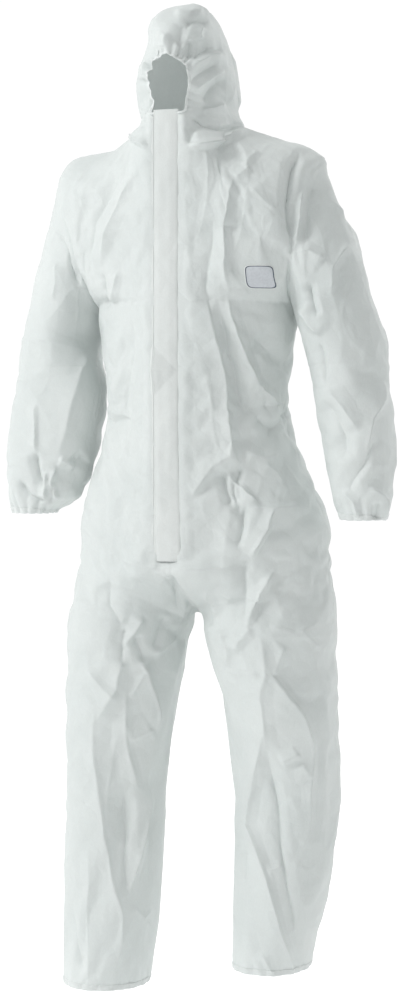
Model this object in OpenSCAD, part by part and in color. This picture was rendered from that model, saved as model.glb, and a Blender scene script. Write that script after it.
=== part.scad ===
// Hooded chemical protective coverall, worn shape, front towards -Y, +X is the wearer's left.
// The origin is on the shoulder rest, between the two shoulder seams at the height of the armhole tops.

/* [Cloth] */
// Thickness of one cloth layer
cloth = 1.2; // [0.8:0.1:1.6]
// Half of the seam gap between two parts that move apart
seam_gap = 0.5; // [0.4:0.1:1]

/* [Hood] */
// Top of the hood above the origin
hood_top = 300; // [280:5:320]
// Half-width of the hood
hood_w = 85; // [80:1:95]
// Half-depth of the hood
hood_d = 120; // [110:1:125]
// Half-width of the centre strip and of the face opening
strip_w = 35; // [30:1:38]
// Top of the face opening
face_top = 213; // [200:1:220]

/* [Body] */
// Distance of the straight front zip line in front of the origin
front_y = 165; // [155:1:170]
// Distance of the back behind the origin
back_y = 115; // [105:1:125]
// Half-width of the shoulders
shoulder_w = 245; // [235:1:255]
// Height of the shoulder points
shoulder_z = 30; // [25:1:35]
// Depth of the underarm and of the chest seam below the origin
chest_z = 220; // [210:1:230]
// Half-width at the chest seam
chest_w = 178; // [170:1:185]
// Depth of the waist below the origin
waist_z = 400; // [380:5:420]
// Half-width at the waist
waist_w = 165; // [160:1:172]
// Depth of the hips below the origin
hip_z = 640; // [620:5:660]
// Half-width at the hips
hip_w = 235; // [225:1:240]

/* [Sleeves] */
// Depth of the elbow below the origin
elbow_z = 330; // [310:5:350]
// Depth of the cuffs below the origin
cuff_z = 598; // [585:1:610]
// Half-width of a cuff
cuff_w = 38; // [34:1:44]

/* [Legs] */
// Depth of the leg seams at the fork below the origin
fork_z = 800; // [790:5:810]
// Depth of the knees below the origin
knee_z = 1105; // [1080:5:1130]
// Depth of the left hem below the origin
hem_left_z = 1410; // [1400:5:1430]
// Depth of the right hem below the origin
hem_right_z = 1446; // [1430:2:1450]

/* [Zip and flap] */
// Depth of the zip's lower end below the origin
zip_end_z = 664; // [640:2:670]
// Width of the storm flap
flap_w = 46; // [40:1:50]
// Thickness of the storm flap
flap_t = 1; // [0.8:0.1:1.4]

/* [Hidden] */
$fn = 48;

LEFT = 0;
RIGHT = 1;
WHITE = "white";
ELASTIC = "gainsboro";
ZIP = "lightgray";

// The body's own middle line, and the half-depths in front of it and behind it
mid_y = (back_y - front_y) / 2;
half_depth = (back_y + front_y) / 2;
// The panels stop this far from the middle, beside the zip
zip_edge = 8;
// The hood and the neck share one tilted seam plane: higher in front than behind
neck_z = 90;
neck_rise = 15;
neck_y = hood_d - front_y;
hood_mid_z = 165;
hood_lean = 0.15;
// Depth of the armhole in front of the middle line and behind it
arm_depth = 82;
// The fork begins to form at this depth
fork_start_z = 690;
fork_arch = 20;
leg_x = 135;
leg_w = 113;
leg_d = 128;
// The zip's stack, from the panel's front face forwards
tape_w = 6.4;
tape_t = 0.6;
coil_w = 2.4;
coil_t = 1.8;
zip_top_z = 96;
slider_top_z = 84;
slider_l = 14;
slider_w = 9;
tab_l = 26;
tab_w = 6;
flap_top_z = 108;
flap_end_z = 672;
flap_gap = 9;

function mix(a, b, t) = a + (b - a) * t;
function clamp(t) = max(0, min(1, t));
function ease(t) = let (c = clamp(t)) c * c * (3 - 2 * c);
function unit(p) = p / norm(p);
function inward(p, core) = p + cloth * unit(core - p);

// ---- closed cloth shells from a grid of outer points and a core that they thin towards ----

function flat_list(rows) = [for (row = rows) each row];

// Two triangles that fill the strip between point numbers a-b and d-c
function quad(a, b, c, d) = [[a, b, c], [a, c, d]];

// rows: outer points, one list for each step; inner: the same for the inside; loop: rows close round
module shell(rows, inner, loop = false) {
    n = len(rows[0]);
    m = len(rows);
    steps = loop ? n : n - 1;
    base = n * m;
    outer_faces = [for (j = [0 : m - 2], i = [0 : steps - 1])
        each quad(j * n + i, j * n + (i + 1) % n, (j + 1) * n + (i + 1) % n, (j + 1) * n + i)];
    inner_faces = [for (f = outer_faces) [f[0] + base, f[2] + base, f[1] + base]];
    first_rim = [for (i = [0 : steps - 1])
        each quad((i + 1) % n, i, base + i, base + (i + 1) % n)];
    top = (m - 1) * n;
    last_rim = [for (i = [0 : steps - 1])
        each quad(top + i, top + (i + 1) % n, base + top + (i + 1) % n, base + top + i)];
    start_rim = loop ? [] : [for (j = [0 : m - 2])
        each quad(j * n, (j + 1) * n, base + (j + 1) * n, base + j * n)];
    end_rim = loop ? [] : [for (j = [0 : m - 2])
        each quad((j + 2) * n - 1, (j + 1) * n - 1, base + (j + 1) * n - 1, base + (j + 2) * n - 1)];
    polyhedron(
        points = concat(flat_list(rows), flat_list(inner)),
        faces = concat(outer_faces, inner_faces, first_rim, last_rim, start_rim, end_rim),
        convexity = 6
    );
}

module on_side(side) {
    if (side == LEFT) children();
    else mirror([1, 0, 0]) children();
}

// ---- hood ----

function neck_seam(y) = neck_z - neck_rise * (y - neck_y) / hood_d;
function hood_y(z) = neck_y - (z - neck_z) * hood_lean;
function dome(z) = sqrt(max(0, 1 - pow(max(0, z - hood_mid_z) / (hood_top - hood_mid_z), 2)));
function hood_core(p) = [p[0] * 0.3, hood_y(p[2]) + (p[1] - hood_y(p[2])) * 0.3, min(p[2], hood_mid_z)];
function hood_wall(p) = inward(p, hood_core(p));

// A point on a side panel: u runs from the face to the back, v from the neck to the crown
function hood_side(u, v) =
    let (z_try = mix(neck_z, hood_crown_z, v), k = dome(z_try), a = asin(strip_w / (hood_w * k)))
    let (turn = mix(a, 180 - a, u), y = hood_y(z_try) - hood_d * k * cos(turn))
    let (z = mix(neck_seam(y) + seam_gap, hood_crown_z, v))
    [hood_w * k * sin(turn), hood_y(z) - hood_d * k * cos(turn), z];

// The side panels end where the dome is hardly wider than the centre strip
hood_crown_z = hood_mid_z + (hood_top - hood_mid_z) * sqrt(1 - pow(strip_w * 1.06 / hood_w, 2));

module hood_side_panel(side) {
    rows = [for (v = [0 : 1 / 8 : 1]) [for (u = [0 : 1 / 10 : 1]) hood_side(u, v)]];
    color(WHITE) on_side(side) shell(rows, [for (row = rows) [for (p = row) hood_wall(p)]]);
}

// A point on the centre strip: x across, turn from the face over the crown, then drop down the back
function strip_dome(x, turn) =
    let (k = sqrt(1 - pow(x / hood_w, 2)), z = hood_mid_z + (hood_top - hood_mid_z) * k * sin(turn))
    [x, hood_y(z) - hood_d * k * cos(turn), z];
function strip_back(x, v) =
    let (k = sqrt(1 - pow(x / hood_w, 2)), y = neck_y + hood_d * k)
    let (z = mix(hood_mid_z, neck_seam(y) + seam_gap, v))
    [x, hood_y(z) + hood_d * k, z];

module hood_centre_panel() {
    face_turn = asin((face_top - hood_mid_z) / (hood_top - hood_mid_z));
    xs = [for (s = [-1 : 0.5 : 1]) s * (strip_w - 0.2)];
    over = [for (t = [0 : 1 / 12 : 1]) [for (x = xs) strip_dome(x, mix(face_turn, 180, t))]];
    down = [for (v = [1 / 3 : 1 / 3 : 1]) [for (x = xs) strip_back(x, v)]];
    rows = concat(over, down);
    color(WHITE) shell(rows, [for (row = rows) [for (p = row) hood_wall(p)]]);
}

// A round elastic cord in the edge of the face opening
function signed_pow(a, e) = sign(a) * pow(abs(a), e);
function face_loop(t) =
    let (x = (strip_w - 6) * signed_pow(cos(t), 0.6), low = neck_z + neck_rise + 7)
    let (z = mix(low, face_top - 4, 0.5 + 0.5 * signed_pow(sin(t), 0.7)))
    [x, hood_y(z) - hood_d * dome(z) * sqrt(1 - pow(x / hood_w, 2)) + 3, z];

module face_elastic() {
    r = 2;
    middle = face_loop(0) / 2 + face_loop(180) / 2;
    rows = [for (t = [0 : 12 : 348]) let (p = face_loop(t), out = unit(p - middle))
        [for (a = [0 : 60 : 300]) p + r * cos(a) * out + r * sin(a) * [0, 1, 0]]];
    count = len(rows);
    sides = len(rows[0]);
    color(ELASTIC) polyhedron(
        points = flat_list(rows),
        faces = [for (j = [0 : count - 1], i = [0 : sides - 1])
            let (k = (j + 1) % count, n = (i + 1) % sides)
            each quad(j * sides + i, j * sides + n, k * sides + n, k * sides + i)]
    );
}

// ---- upper body ----

function body_core(p) =
    let (fork = ease((-p[2] - fork_start_z) / (fork_z - fork_start_z)))
    [mix(p[0] * 0.5, leg_x, fork), mid_y, min(p[2], -60)];
function body_wall(p) = inward(p, body_core(p));

// u runs from the middle to the armhole, v from the chest seam to the neck and shoulder seam.
// face is -1 for the front and 1 for the back
function upper_body(u, v, face, gap) =
    let (across = mix(gap / chest_w, 1, u), arch = sqrt(max(0, 1 - across * across)))
    let (x_top = across * shoulder_w, x = across * mix(chest_w, shoulder_w, v))
    let (arm_y = mid_y + face * arm_depth * sqrt(max(0, 1 - pow(2 * v - 1, 2))))
    let (flat_y = mid_y + face * half_depth, side_y = mix(arm_y, flat_y, arch))
    let (in_neck = x_top < hood_w, neck_arch = sqrt(max(0, 1 - pow(x_top / hood_w, 2))))
    let (top_y = in_neck ? neck_y + face * hood_d * neck_arch : mix(neck_y, mid_y, (x_top - hood_w) / 160))
    let (round_over = 1 - sqrt(1 - pow(v, 5)))
    let (y = face < 0 && x < 30 ? -front_y + x * x * 0.0022 : mix(side_y, top_y, round_over))
    let (slope = (x_top - hood_w) / (shoulder_w - hood_w))
    let (z_top = in_neck ? neck_seam(top_y) - seam_gap : mix(neck_seam(neck_y) - seam_gap, shoulder_z, slope))
    [x, y, mix(-chest_z, z_top, v)];

module upper_body_panel(side, face) {
    gap = face < 0 ? zip_edge : 0.2;
    turns = [for (i = [0 : 8]) sin(90 * i / 8)];
    lifts = [for (j = [0 : 9]) sin(90 * j / 9)];
    rows = [for (v = lifts) [for (u = turns) upper_body(u, v, face, gap)]];
    color(WHITE) on_side(side) shell(rows, [for (row = rows) [for (p = row) body_wall(p)]]);
}

// ---- lower body ----

function body_w(z) = z > -waist_z
    ? mix(waist_w, chest_w, ease((z + waist_z) / (waist_z - chest_z)))
    : mix(waist_w, hip_w, ease((-z - waist_z) / (hip_z - waist_z)));

function body_ring(z, u, face, gap) =
    let (w = body_w(z), a = asin(gap / w), turn = mix(a, 90, u))
    [w * sin(turn), mid_y + face * half_depth * cos(turn), z];
function leg_ring_at_fork(u, face) =
    let (turn = mix(-90, 90, u))
    [leg_x + leg_w * sin(turn), mid_y + face * leg_d * cos(turn), -fork_z];
function lower_body(u, v, face, gap) =
    let (z = mix(-chest_z, -fork_z, v), fork = ease((-z - fork_start_z) / (fork_z - fork_start_z)))
    let (p = body_ring(z, u, face, gap), q = leg_ring_at_fork(u, face))
    [mix(p[0], q[0], fork), mix(p[1], q[1], fork), z];

module lower_body_panel(side, face) {
    gap = face < 0 ? zip_edge : 0.2;
    steps = 14;
    rows = [for (j = [0 : steps]) [for (i = [0 : 8]) lower_body(i / 8, j / steps, face, gap)]];
    color(WHITE) on_side(side) shell(rows, [for (row = rows) [for (p = row) body_wall(p)]]);
}

// The gusset closes the strip between the two inner panel edges, from the zip's end to the seat
function gusset_edge(t) =
    let (start = (zip_end_z + 8 - chest_z) / (fork_z - chest_z), back_start = 0.9)
    t < 0.5 ? lower_body(0, mix(start, 1, t * 2), -1, zip_edge)
            : lower_body(0, mix(1, back_start, t * 2 - 1), 1, 0.2);

module crotch_gusset() {
    steps = 16;
    inset = 0.4;
    rows = [for (j = [0 : steps]) let (t = j / steps, p = gusset_edge(t), w = max(1, p[0] - inset))
        [for (s = [-1 : 0.5 : 1]) [s * w, p[1], p[2] + fork_arch * (1 - s * s) * sin(180 * t)]]];
    inner = [for (row = rows) [for (p = row) inward(p, [p[0] * 0.9, mid_y, p[2] + 160])]];
    color(WHITE) shell(rows, inner);
}

// A flat band round a ring of the body, just inside the cloth
module waist_elastic() {
    reach = 2 * cloth + 1.2;
    turns = [for (a = [20 : 10 : 340]) a];
    rows = [for (z = [-waist_z - 6, -waist_z + 6]) [for (a = turns)
        [(waist_w - reach) * sin(a), mid_y - (half_depth - reach) * cos(a), z]]];
    color(ELASTIC) shell(rows, [for (row = rows) [for (p = row) inward(p, [0, mid_y, p[2]])]]);
}

// A blank size label sewn inside the back of the neck
module size_label() {
    color(WHITE) translate([-20, back_y - 44, 18]) cube([40, 0.6, 50]);
}

// A printed patch with rounded corners on the wearer's left chest
module chest_patch() {
    lift = 0.4;
    rows = [for (z = [-200 : 10 : -160]) [for (s = [0 : 1 / 6 : 1])
        let (v = (z + chest_z) / (chest_z + shoulder_z), trim = abs(z + 180) > 15 ? 0.03 : 0)
        let (p = upper_body(mix(0.70 + trim, 0.93 - trim, s), v, -1, zip_edge), q = [p[0], p[1], z])
        q - lift * unit(body_core(q) - q)]];
    inner = [for (row = rows) [for (p = row) p - 0.6 * unit(body_core(p) - p)]];
    color(ELASTIC) shell(inner, rows);
}

// ---- sleeves ----

function arm_x(z) = lookup(z, [[-cuff_z, 314], [-500, 306], [-elbow_z, 281], [-chest_z, 258]]);
function arm_y(z) = lookup(z, [[-cuff_z, -42], [-500, -32], [-elbow_z, -20], [-chest_z, mid_y]]);
function arm_w(z) = lookup(z, [[-cuff_z, cuff_w], [-560, 50], [-500, 60], [-elbow_z, 66]]);
function arm_d(z) = lookup(z, [[-cuff_z, cuff_w + 4], [-560, 56], [-500, 70], [-elbow_z, 80]]);
function arm_ring(a, z) = [arm_x(z) - arm_w(z) * cos(a), arm_y(z) - arm_d(z) * sin(a), z];

// The armhole's own ring: a from the underarm (0) over the front (90) to the shoulder point (180)
function armhole(a) =
    let (v = 0.5 - 0.5 * cos(a), lean = [chest_z + shoulder_z, 0, -(shoulder_w - chest_w)])
    [mix(chest_w, shoulder_w, v), mid_y - arm_depth * sin(a), mix(-chest_z, shoulder_z, v)]
        + 2 * seam_gap * unit(lean);
function arm_core(p) = [min(arm_x(p[2]), 262), arm_y(p[2]), min(p[2], -40)];

module upper_sleeve(side) {
    steps = 6;
    elbow = -elbow_z + seam_gap;
    rows = [for (j = [0 : steps]) [for (a = [0 : 18 : 342])
        mix(armhole(a), arm_ring(a, elbow), j / steps)
            + [9 * sin(180 * j / steps) * max(0, -cos(a)), 0, 0]]];
    inner = [for (row = rows) [for (p = row) inward(p, arm_core(p))]];
    color(WHITE) on_side(side) shell(rows, inner, true);
}

module lower_sleeve(side) {
    heights = [for (t = [0 : 1 / 6 : 1]) mix(-elbow_z - seam_gap, -cuff_z, t)];
    rows = [for (z = heights) [for (a = [0 : 18 : 342]) arm_ring(a, z)]];
    inner = [for (row = rows) [for (p = row) inward(p, [arm_x(p[2]), arm_y(p[2]), p[2]])]];
    color(WHITE) on_side(side) shell(rows, inner, true);
}

// An elastic band inside the end of a sleeve or a leg, at a ring given by its middle and half-sizes
module inner_band(x, y, z, w, d, height) {
    reach = cloth + 1;
    rows = [for (h = [0, height]) [for (a = [0 : 18 : 342])
        [x - (w - reach) * cos(a), y - (d - reach) * sin(a), z + h]]];
    inner = [for (row = rows) [for (p = row) inward(p, [x, y, p[2]])]];
    color(ELASTIC) shell(inner, rows, true);
}

module cuff_elastic(side) {
    on_side(side) inner_band(arm_x(-cuff_z), arm_y(-cuff_z), -cuff_z + 1, cuff_w, cuff_w + 4, 8);
}

// ---- legs ----

function hem_z(side) = side == LEFT ? -hem_left_z : -hem_right_z;
function leg_mid_x(side, z) = side == LEFT
    ? lookup(z, [[-hem_left_z, 143], [-knee_z, 155], [-fork_z, leg_x]])
    : lookup(z, [[-hem_right_z, 158], [-knee_z, 156], [-fork_z, leg_x]]);
function leg_mid_y(side, z) = side == LEFT
    ? lookup(z, [[-hem_left_z, -18], [-knee_z, -2], [-fork_z, mid_y]])
    : lookup(z, [[-hem_right_z, -62], [-knee_z, -46], [-fork_z, mid_y]]);
function leg_w_at(side, z) = lookup(z, [[hem_z(side), 72], [-1330, 82], [-knee_z, 86], [-fork_z, leg_w]]);
function leg_d_at(side, z) = lookup(z, [[hem_z(side), 84], [-1330, 94], [-knee_z, 102], [-fork_z, leg_d]]);
function leg_ring(side, a, z) = [
    leg_mid_x(side, z) + leg_w_at(side, z) * cos(a),
    leg_mid_y(side, z) + leg_d_at(side, z) * sin(a),
    z
];

module leg_tube(side, z_top, z_low) {
    rows = [for (t = [0 : 1 / 6 : 1]) [for (a = [0 : 15 : 345]) leg_ring(side, a, mix(z_top, z_low, t))]];
    inner = [for (row = rows) [for (p = row)
        inward(p, [leg_mid_x(side, p[2]), leg_mid_y(side, p[2]), p[2]])]];
    color(WHITE) on_side(side) shell(inner, rows, true);
}

module upper_leg(side) {
    leg_tube(side, -fork_z - 2 * seam_gap, -knee_z + seam_gap);
}

module lower_leg(side) {
    leg_tube(side, -knee_z - seam_gap, hem_z(side));
}

module ankle_elastic(side) {
    z = hem_z(side);
    on_side(side) inner_band(
        leg_mid_x(side, z), leg_mid_y(side, z), z + 1, leg_w_at(side, z), leg_d_at(side, z), 8);
}

// ---- zip, behind the flap ----

module zip_tape(side) {
    y = -front_y + cloth;
    on_side(side) color(ZIP) translate([1.4, y, -zip_end_z]) cube([tape_w, tape_t, zip_end_z + zip_top_z]);
}

// One row of coil, sewn to the front of its tape, with a small step for each pair of turns
module zip_coil(side) {
    pitch = 8;
    count = floor((zip_end_z + zip_top_z - 12) / pitch);
    y = -front_y + cloth - coil_t;
    shift = side == LEFT ? 0 : pitch / 2;
    on_side(side) color(ZIP) {
        translate([0.9, y + 0.3, -zip_end_z + 5]) cube([coil_w - 0.9, coil_t - 0.3, count * pitch]);
        for (i = [0 : 4 : count - 1])
            translate([0.2, y, -zip_end_z + 5 + shift + i * pitch]) cube([coil_w, coil_t, pitch / 2]);
    }
}

module zip_top_stops() {
    for (side = [LEFT, RIGHT]) on_side(side) color(ZIP)
        translate([0.3, -front_y - 0.2, zip_top_z - 5]) cube([3.6, cloth + 0.1, 4]);
}

module zip_bottom_stop() {
    color(ZIP) translate([-4, -front_y - 0.2, -zip_end_z]) cube([8, cloth + 0.1, 4.5]);
}

// The slider's front plate, its two side flanges beside the coil, and its loop for the tab
slider_y = -front_y - 3.2;
flange_x = 3;
flange_t = 1.2;

module zip_slider() {
    flange_d = 2.6 + cloth;
    color("silver") {
        for (x = [-flange_x - flange_t, flange_x])
            translate([x, slider_y + 0.2, slider_top_z - 11]) cube([flange_t, flange_d, 9]);
        hull() {
            translate([-slider_w / 2, slider_y, slider_top_z - 4]) cube([slider_w, 1.6, 3.4]);
            translate([-slider_w / 2 + 1.5, slider_y, slider_top_z - slider_l]) cube([slider_w - 3, 1.6, 2]);
        }
        difference() {
            translate([-1.5, slider_y - 2.6, slider_top_z - 8]) cube([3, 2.8, 6]);
            translate([-3, slider_y - 1.2, slider_top_z - 5]) rotate([0, 90, 0]) cylinder(r = 0.8, h = 6);
        }
    }
}

// A flat tab that hangs from the slider's loop on its own cross bar
module zip_pull_tab() {
    bar_z = slider_top_z - 5;
    bar_y = slider_y - 1.2;
    color("silver") {
        translate([-tab_w / 2, bar_y, bar_z]) rotate([0, 90, 0]) cylinder(r = 0.55, h = tab_w);
        for (x = [-tab_w / 2, tab_w / 2 - 1.1])
            translate([x, bar_y - 0.55, bar_z - 6]) cube([1.1, 1.1, 6]);
        translate([-tab_w / 2, bar_y - 0.55, bar_z - 14]) cube([tab_w, 1.1, 5]);
        translate([-tab_w / 2 - 0.8, bar_y - 0.55, bar_z - tab_l]) cube([tab_w + 1.6, 1.1, tab_l - 13]);
        for (x = [-tab_w / 2, tab_w / 2 - 1.1])
            translate([x, bar_y - 0.55, bar_z - 10]) cube([1.1, 1.1, 5]);
    }
}

// ---- storm flap ----

// The flap turns about its sewn edge, on the wearer's right of the zip
flap_hinge_x = -flap_w / 2;
flap_y = -front_y - flap_gap;

module storm_flap() {
    color(WHITE) translate([flap_hinge_x, flap_y, -flap_end_z])
        cube([flap_w, flap_t, flap_end_z + flap_top_z]);
}

// The flap's folded root, sewn down to the front panels
module flap_seam_fold() {
    clear = flap_t + 0.6;
    color(WHITE) translate([flap_hinge_x, flap_y + clear, -flap_end_z])
        cube([flap_t, flap_gap - clear, flap_end_z + neck_z]);
}

module flap_adhesive_strip() {
    strip = 10;
    color(ELASTIC) translate([-flap_hinge_x - strip - 2, flap_y + flap_t, -flap_end_z + 20])
        cube([strip, 0.3, flap_end_z + flap_top_z - 40]);
}

hood_side_panel(LEFT);  // hood_left_panel
hood_side_panel(RIGHT);  // hood_right_panel
hood_centre_panel();
face_elastic();
upper_body_panel(LEFT, -1);  // chest_left_panel
upper_body_panel(RIGHT, -1);  // chest_right_panel
upper_body_panel(LEFT, 1);  // upper_back_left_panel
upper_body_panel(RIGHT, 1);  // upper_back_right_panel
lower_body_panel(LEFT, -1);  // lower_front_left_panel
lower_body_panel(RIGHT, -1);  // lower_front_right_panel
lower_body_panel(LEFT, 1);  // lower_back_left_panel
lower_body_panel(RIGHT, 1);  // lower_back_right_panel
crotch_gusset();
waist_elastic();
size_label();
chest_patch();
upper_sleeve(LEFT);  // upper_sleeve_left
upper_sleeve(RIGHT);  // upper_sleeve_right
lower_sleeve(LEFT);  // lower_sleeve_left
lower_sleeve(RIGHT);  // lower_sleeve_right
cuff_elastic(LEFT);  // cuff_elastic_left
cuff_elastic(RIGHT);  // cuff_elastic_right
upper_leg(LEFT);  // upper_leg_left
upper_leg(RIGHT);  // upper_leg_right
lower_leg(LEFT);  // lower_leg_left
lower_leg(RIGHT);  // lower_leg_right
ankle_elastic(LEFT);  // ankle_elastic_left
ankle_elastic(RIGHT);  // ankle_elastic_right
zip_tape(LEFT);  // zip_tape_left
zip_tape(RIGHT);  // zip_tape_right
zip_coil(LEFT);  // zip_coil_left
zip_coil(RIGHT);  // zip_coil_right
zip_top_stops();
zip_bottom_stop();
zip_slider();
zip_pull_tab();
storm_flap();
flap_seam_fold();
flap_adhesive_strip();
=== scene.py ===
"""Looks of the hooded protective coverall: a sewn non-woven suit in worn shape, in the CAD part's frame."""
import math
from collections import namedtuple

import bmesh
import bpy
import numpy as np
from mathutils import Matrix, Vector, kdtree, noise


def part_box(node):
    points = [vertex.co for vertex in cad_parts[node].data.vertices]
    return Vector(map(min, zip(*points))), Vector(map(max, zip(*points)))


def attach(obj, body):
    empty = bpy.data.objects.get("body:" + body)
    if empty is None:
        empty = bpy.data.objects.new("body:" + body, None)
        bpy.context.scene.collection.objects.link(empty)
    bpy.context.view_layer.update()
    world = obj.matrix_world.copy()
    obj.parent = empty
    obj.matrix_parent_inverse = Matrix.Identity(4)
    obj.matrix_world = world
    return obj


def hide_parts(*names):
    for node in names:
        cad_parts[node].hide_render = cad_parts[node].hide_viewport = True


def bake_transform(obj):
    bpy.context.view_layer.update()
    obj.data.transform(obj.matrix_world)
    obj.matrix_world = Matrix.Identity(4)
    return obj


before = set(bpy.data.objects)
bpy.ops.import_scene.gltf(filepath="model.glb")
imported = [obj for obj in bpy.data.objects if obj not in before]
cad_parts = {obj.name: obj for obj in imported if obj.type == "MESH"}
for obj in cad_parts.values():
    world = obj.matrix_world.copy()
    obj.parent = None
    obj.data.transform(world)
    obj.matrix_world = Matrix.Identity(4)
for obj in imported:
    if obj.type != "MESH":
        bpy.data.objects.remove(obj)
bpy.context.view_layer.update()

# ---------------------------------------------------------------- sizes, from the frame (metres)

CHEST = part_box("chest_left_panel")
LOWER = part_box("lower_front_left_panel")
LOWER_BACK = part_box("lower_back_left_panel")
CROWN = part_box("hood_centre_panel")
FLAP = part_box("storm_flap")
SIDES = {"left": 1, "right": -1}

FRONT_Y = CHEST[0][1]
BACK_Y = LOWER_BACK[1][1]
MID_Y = (FRONT_Y + BACK_Y) / 2
HALF_DEPTH = (BACK_Y - FRONT_Y) / 2
CHEST_Z = CHEST[0][2]
FORK_Z = LOWER[0][2]
SHOULDER_W = CHEST[1][0]
ZIP_EDGE = LOWER[0][0]
SHOULDER_Z = 0.030
CHEST_W = 0.178
WAIST_Z, WAIST_W = -0.400, 0.165
HIP_Z, HIP_W = -0.640, 0.235
ARM_DEPTH = 0.082

HOOD_TOP = CROWN[1][2]
HOOD_W, HOOD_D, STRIP_W = 0.085, 0.120, CROWN[1][0]
NECK_Z, NECK_RISE = 0.090, 0.015
NECK_Y = HOOD_D + FRONT_Y
HOOD_MID_Z, HOOD_LEAN = 0.165, 0.15
FACE_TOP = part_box("face_elastic")[1][2]

FORK_START_Z = -0.690
LEG_X, LEG_W, LEG_D = 0.135, 0.113, 0.128
KNEE_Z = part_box("upper_leg_left")[0][2]
ELBOW_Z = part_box("upper_sleeve_left")[0][2]
CUFF_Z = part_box("lower_sleeve_left")[0][2]
HEM_Z = {s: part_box("lower_leg_" + s)[0][2] for s in SIDES}
FORK_ARCH = 0.020
ZIP_END_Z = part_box("zip_bottom_stop")[0][2]

# ---------------------------------------------------------------- the suit's surface, as functions


def mix(a, b, t):
    return a + (b - a) * t


def ease(t):
    c = min(1.0, max(0.0, t))
    return c * c * (3 - 2 * c)


def arch(t):
    return math.sqrt(max(0.0, 1 - t * t))


def lookup(z, table):
    rows = sorted(table)
    return float(np.interp(z, [r[0] for r in rows], [r[1] for r in rows]))


def neck_seam(y):
    return NECK_Z - NECK_RISE * (y - NECK_Y) / HOOD_D


def hood_y(z):
    return NECK_Y - (z - NECK_Z) * HOOD_LEAN


def dome(z):
    return arch(max(0.0, z - HOOD_MID_Z) / (HOOD_TOP - HOOD_MID_Z))


def hood_ring(turn, z):
    """A point of the hood at a height, turn in degrees from the face round to the back."""
    k = dome(z)
    t = math.radians(turn)
    return (HOOD_W * k * math.sin(t), hood_y(z) - HOOD_D * k * math.cos(t), z)


def neckline(turn):
    t = math.radians(turn)
    y = NECK_Y - HOOD_D * math.cos(t)
    return (HOOD_W * math.sin(t), y, neck_seam(y))


# Columns of the body grid: the neckline is cut at these turns from the front, then the shoulder runs out
EDGE_TURN = math.degrees(math.asin(STRIP_W / HOOD_W))
SIDE_STEPS = 12
SHOULDER_STEPS = 20


def neck_turns(start):
    near = [mix(start, EDGE_TURN, i / 3) for i in range(3)]
    return near + [mix(EDGE_TURN, 90, i / SIDE_STEPS) for i in range(SIDE_STEPS + 1)]


def columns(face, gap):
    """Pairs for each column: its share across at the bottom row and the top point that it runs to."""
    start = math.degrees(math.asin(gap / HOOD_W))
    tops = [neckline(t if face < 0 else 180 - t) for t in neck_turns(start)]
    for i in range(1, SHOULDER_STEPS + 1):
        t = i / SHOULDER_STEPS
        z_side = neck_seam(NECK_Y)
        tops.append((mix(HOOD_W, SHOULDER_W, t), mix(NECK_Y, MID_Y, t), mix(z_side, SHOULDER_Z, t)))
    first = math.asin(gap / CHEST_W)
    last = len(tops) - 1
    across = [math.sin(mix(first, math.pi / 2, i / last)) for i in range(last + 1)]
    return list(zip(across, tops))


def upper_body(across, top, v, face):
    top_across = top[0] / SHOULDER_W
    a = mix(across, top_across, ease(v))
    x = a * mix(CHEST_W, SHOULDER_W, v)
    arm_y = MID_Y + face * ARM_DEPTH * arch(2 * v - 1)
    flat_y = MID_Y + face * HALF_DEPTH
    side_y = mix(arm_y, flat_y, arch(a))
    round_over = 1 - math.sqrt(max(0.0, 1 - v ** 5))
    y = mix(side_y, top[1], round_over)
    if face < 0 and x < 0.03:
        y = mix(FRONT_Y + 2.2 * x * x, y, ease((v - 0.97) / 0.03))
    return (x, y, mix(CHEST_Z, top[2], v))


def body_w(z):
    if z > WAIST_Z:
        return mix(WAIST_W, CHEST_W, ease((z - WAIST_Z) / (CHEST_Z - WAIST_Z)))
    return mix(WAIST_W, HIP_W, ease((z - WAIST_Z) / (HIP_Z - WAIST_Z)))


def lower_body(u, v, face, gap):
    z = mix(CHEST_Z, FORK_Z, v)
    w = body_w(z)
    turn = mix(math.asin(gap / w), math.pi / 2, u)
    p = (w * math.sin(turn), MID_Y + face * HALF_DEPTH * math.cos(turn))
    leg_turn = mix(-math.pi / 2, math.pi / 2, u)
    q = (LEG_X + LEG_W * math.sin(leg_turn), MID_Y + face * LEG_D * math.cos(leg_turn))
    fork = ease((z - FORK_START_Z) / (FORK_Z - FORK_START_Z))
    return (mix(p[0], q[0], fork), mix(p[1], q[1], fork), z)


def arm_ring(a, z):
    """A point round the sleeve: a in degrees from the underarm (0) over the front (90) to outside."""
    x = lookup(z, [(CUFF_Z, 0.314), (-0.500, 0.306), (ELBOW_Z, 0.281), (CHEST_Z, 0.258)])
    y = lookup(z, [(CUFF_Z, -0.042), (-0.500, -0.032), (ELBOW_Z, -0.020), (CHEST_Z, MID_Y)])
    w = lookup(z, [(CUFF_Z, 0.038), (-0.560, 0.050), (-0.500, 0.060), (ELBOW_Z, 0.066)])
    d = lookup(z, [(CUFF_Z, 0.042), (-0.560, 0.056), (-0.500, 0.070), (ELBOW_Z, 0.080)])
    t = math.radians(a)
    return (x - w * math.cos(t), y - d * math.sin(t), z)


LEG_TABLES = {
    "left": ([(HEM_Z["left"], 0.143), (KNEE_Z, 0.155), (FORK_Z, LEG_X)],
             [(HEM_Z["left"], -0.018), (KNEE_Z, -0.002), (FORK_Z, MID_Y)]),
    "right": ([(HEM_Z["right"], 0.158), (KNEE_Z, 0.156), (FORK_Z, LEG_X)],
              [(HEM_Z["right"], -0.062), (KNEE_Z, -0.046), (FORK_Z, MID_Y)]),
}


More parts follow.
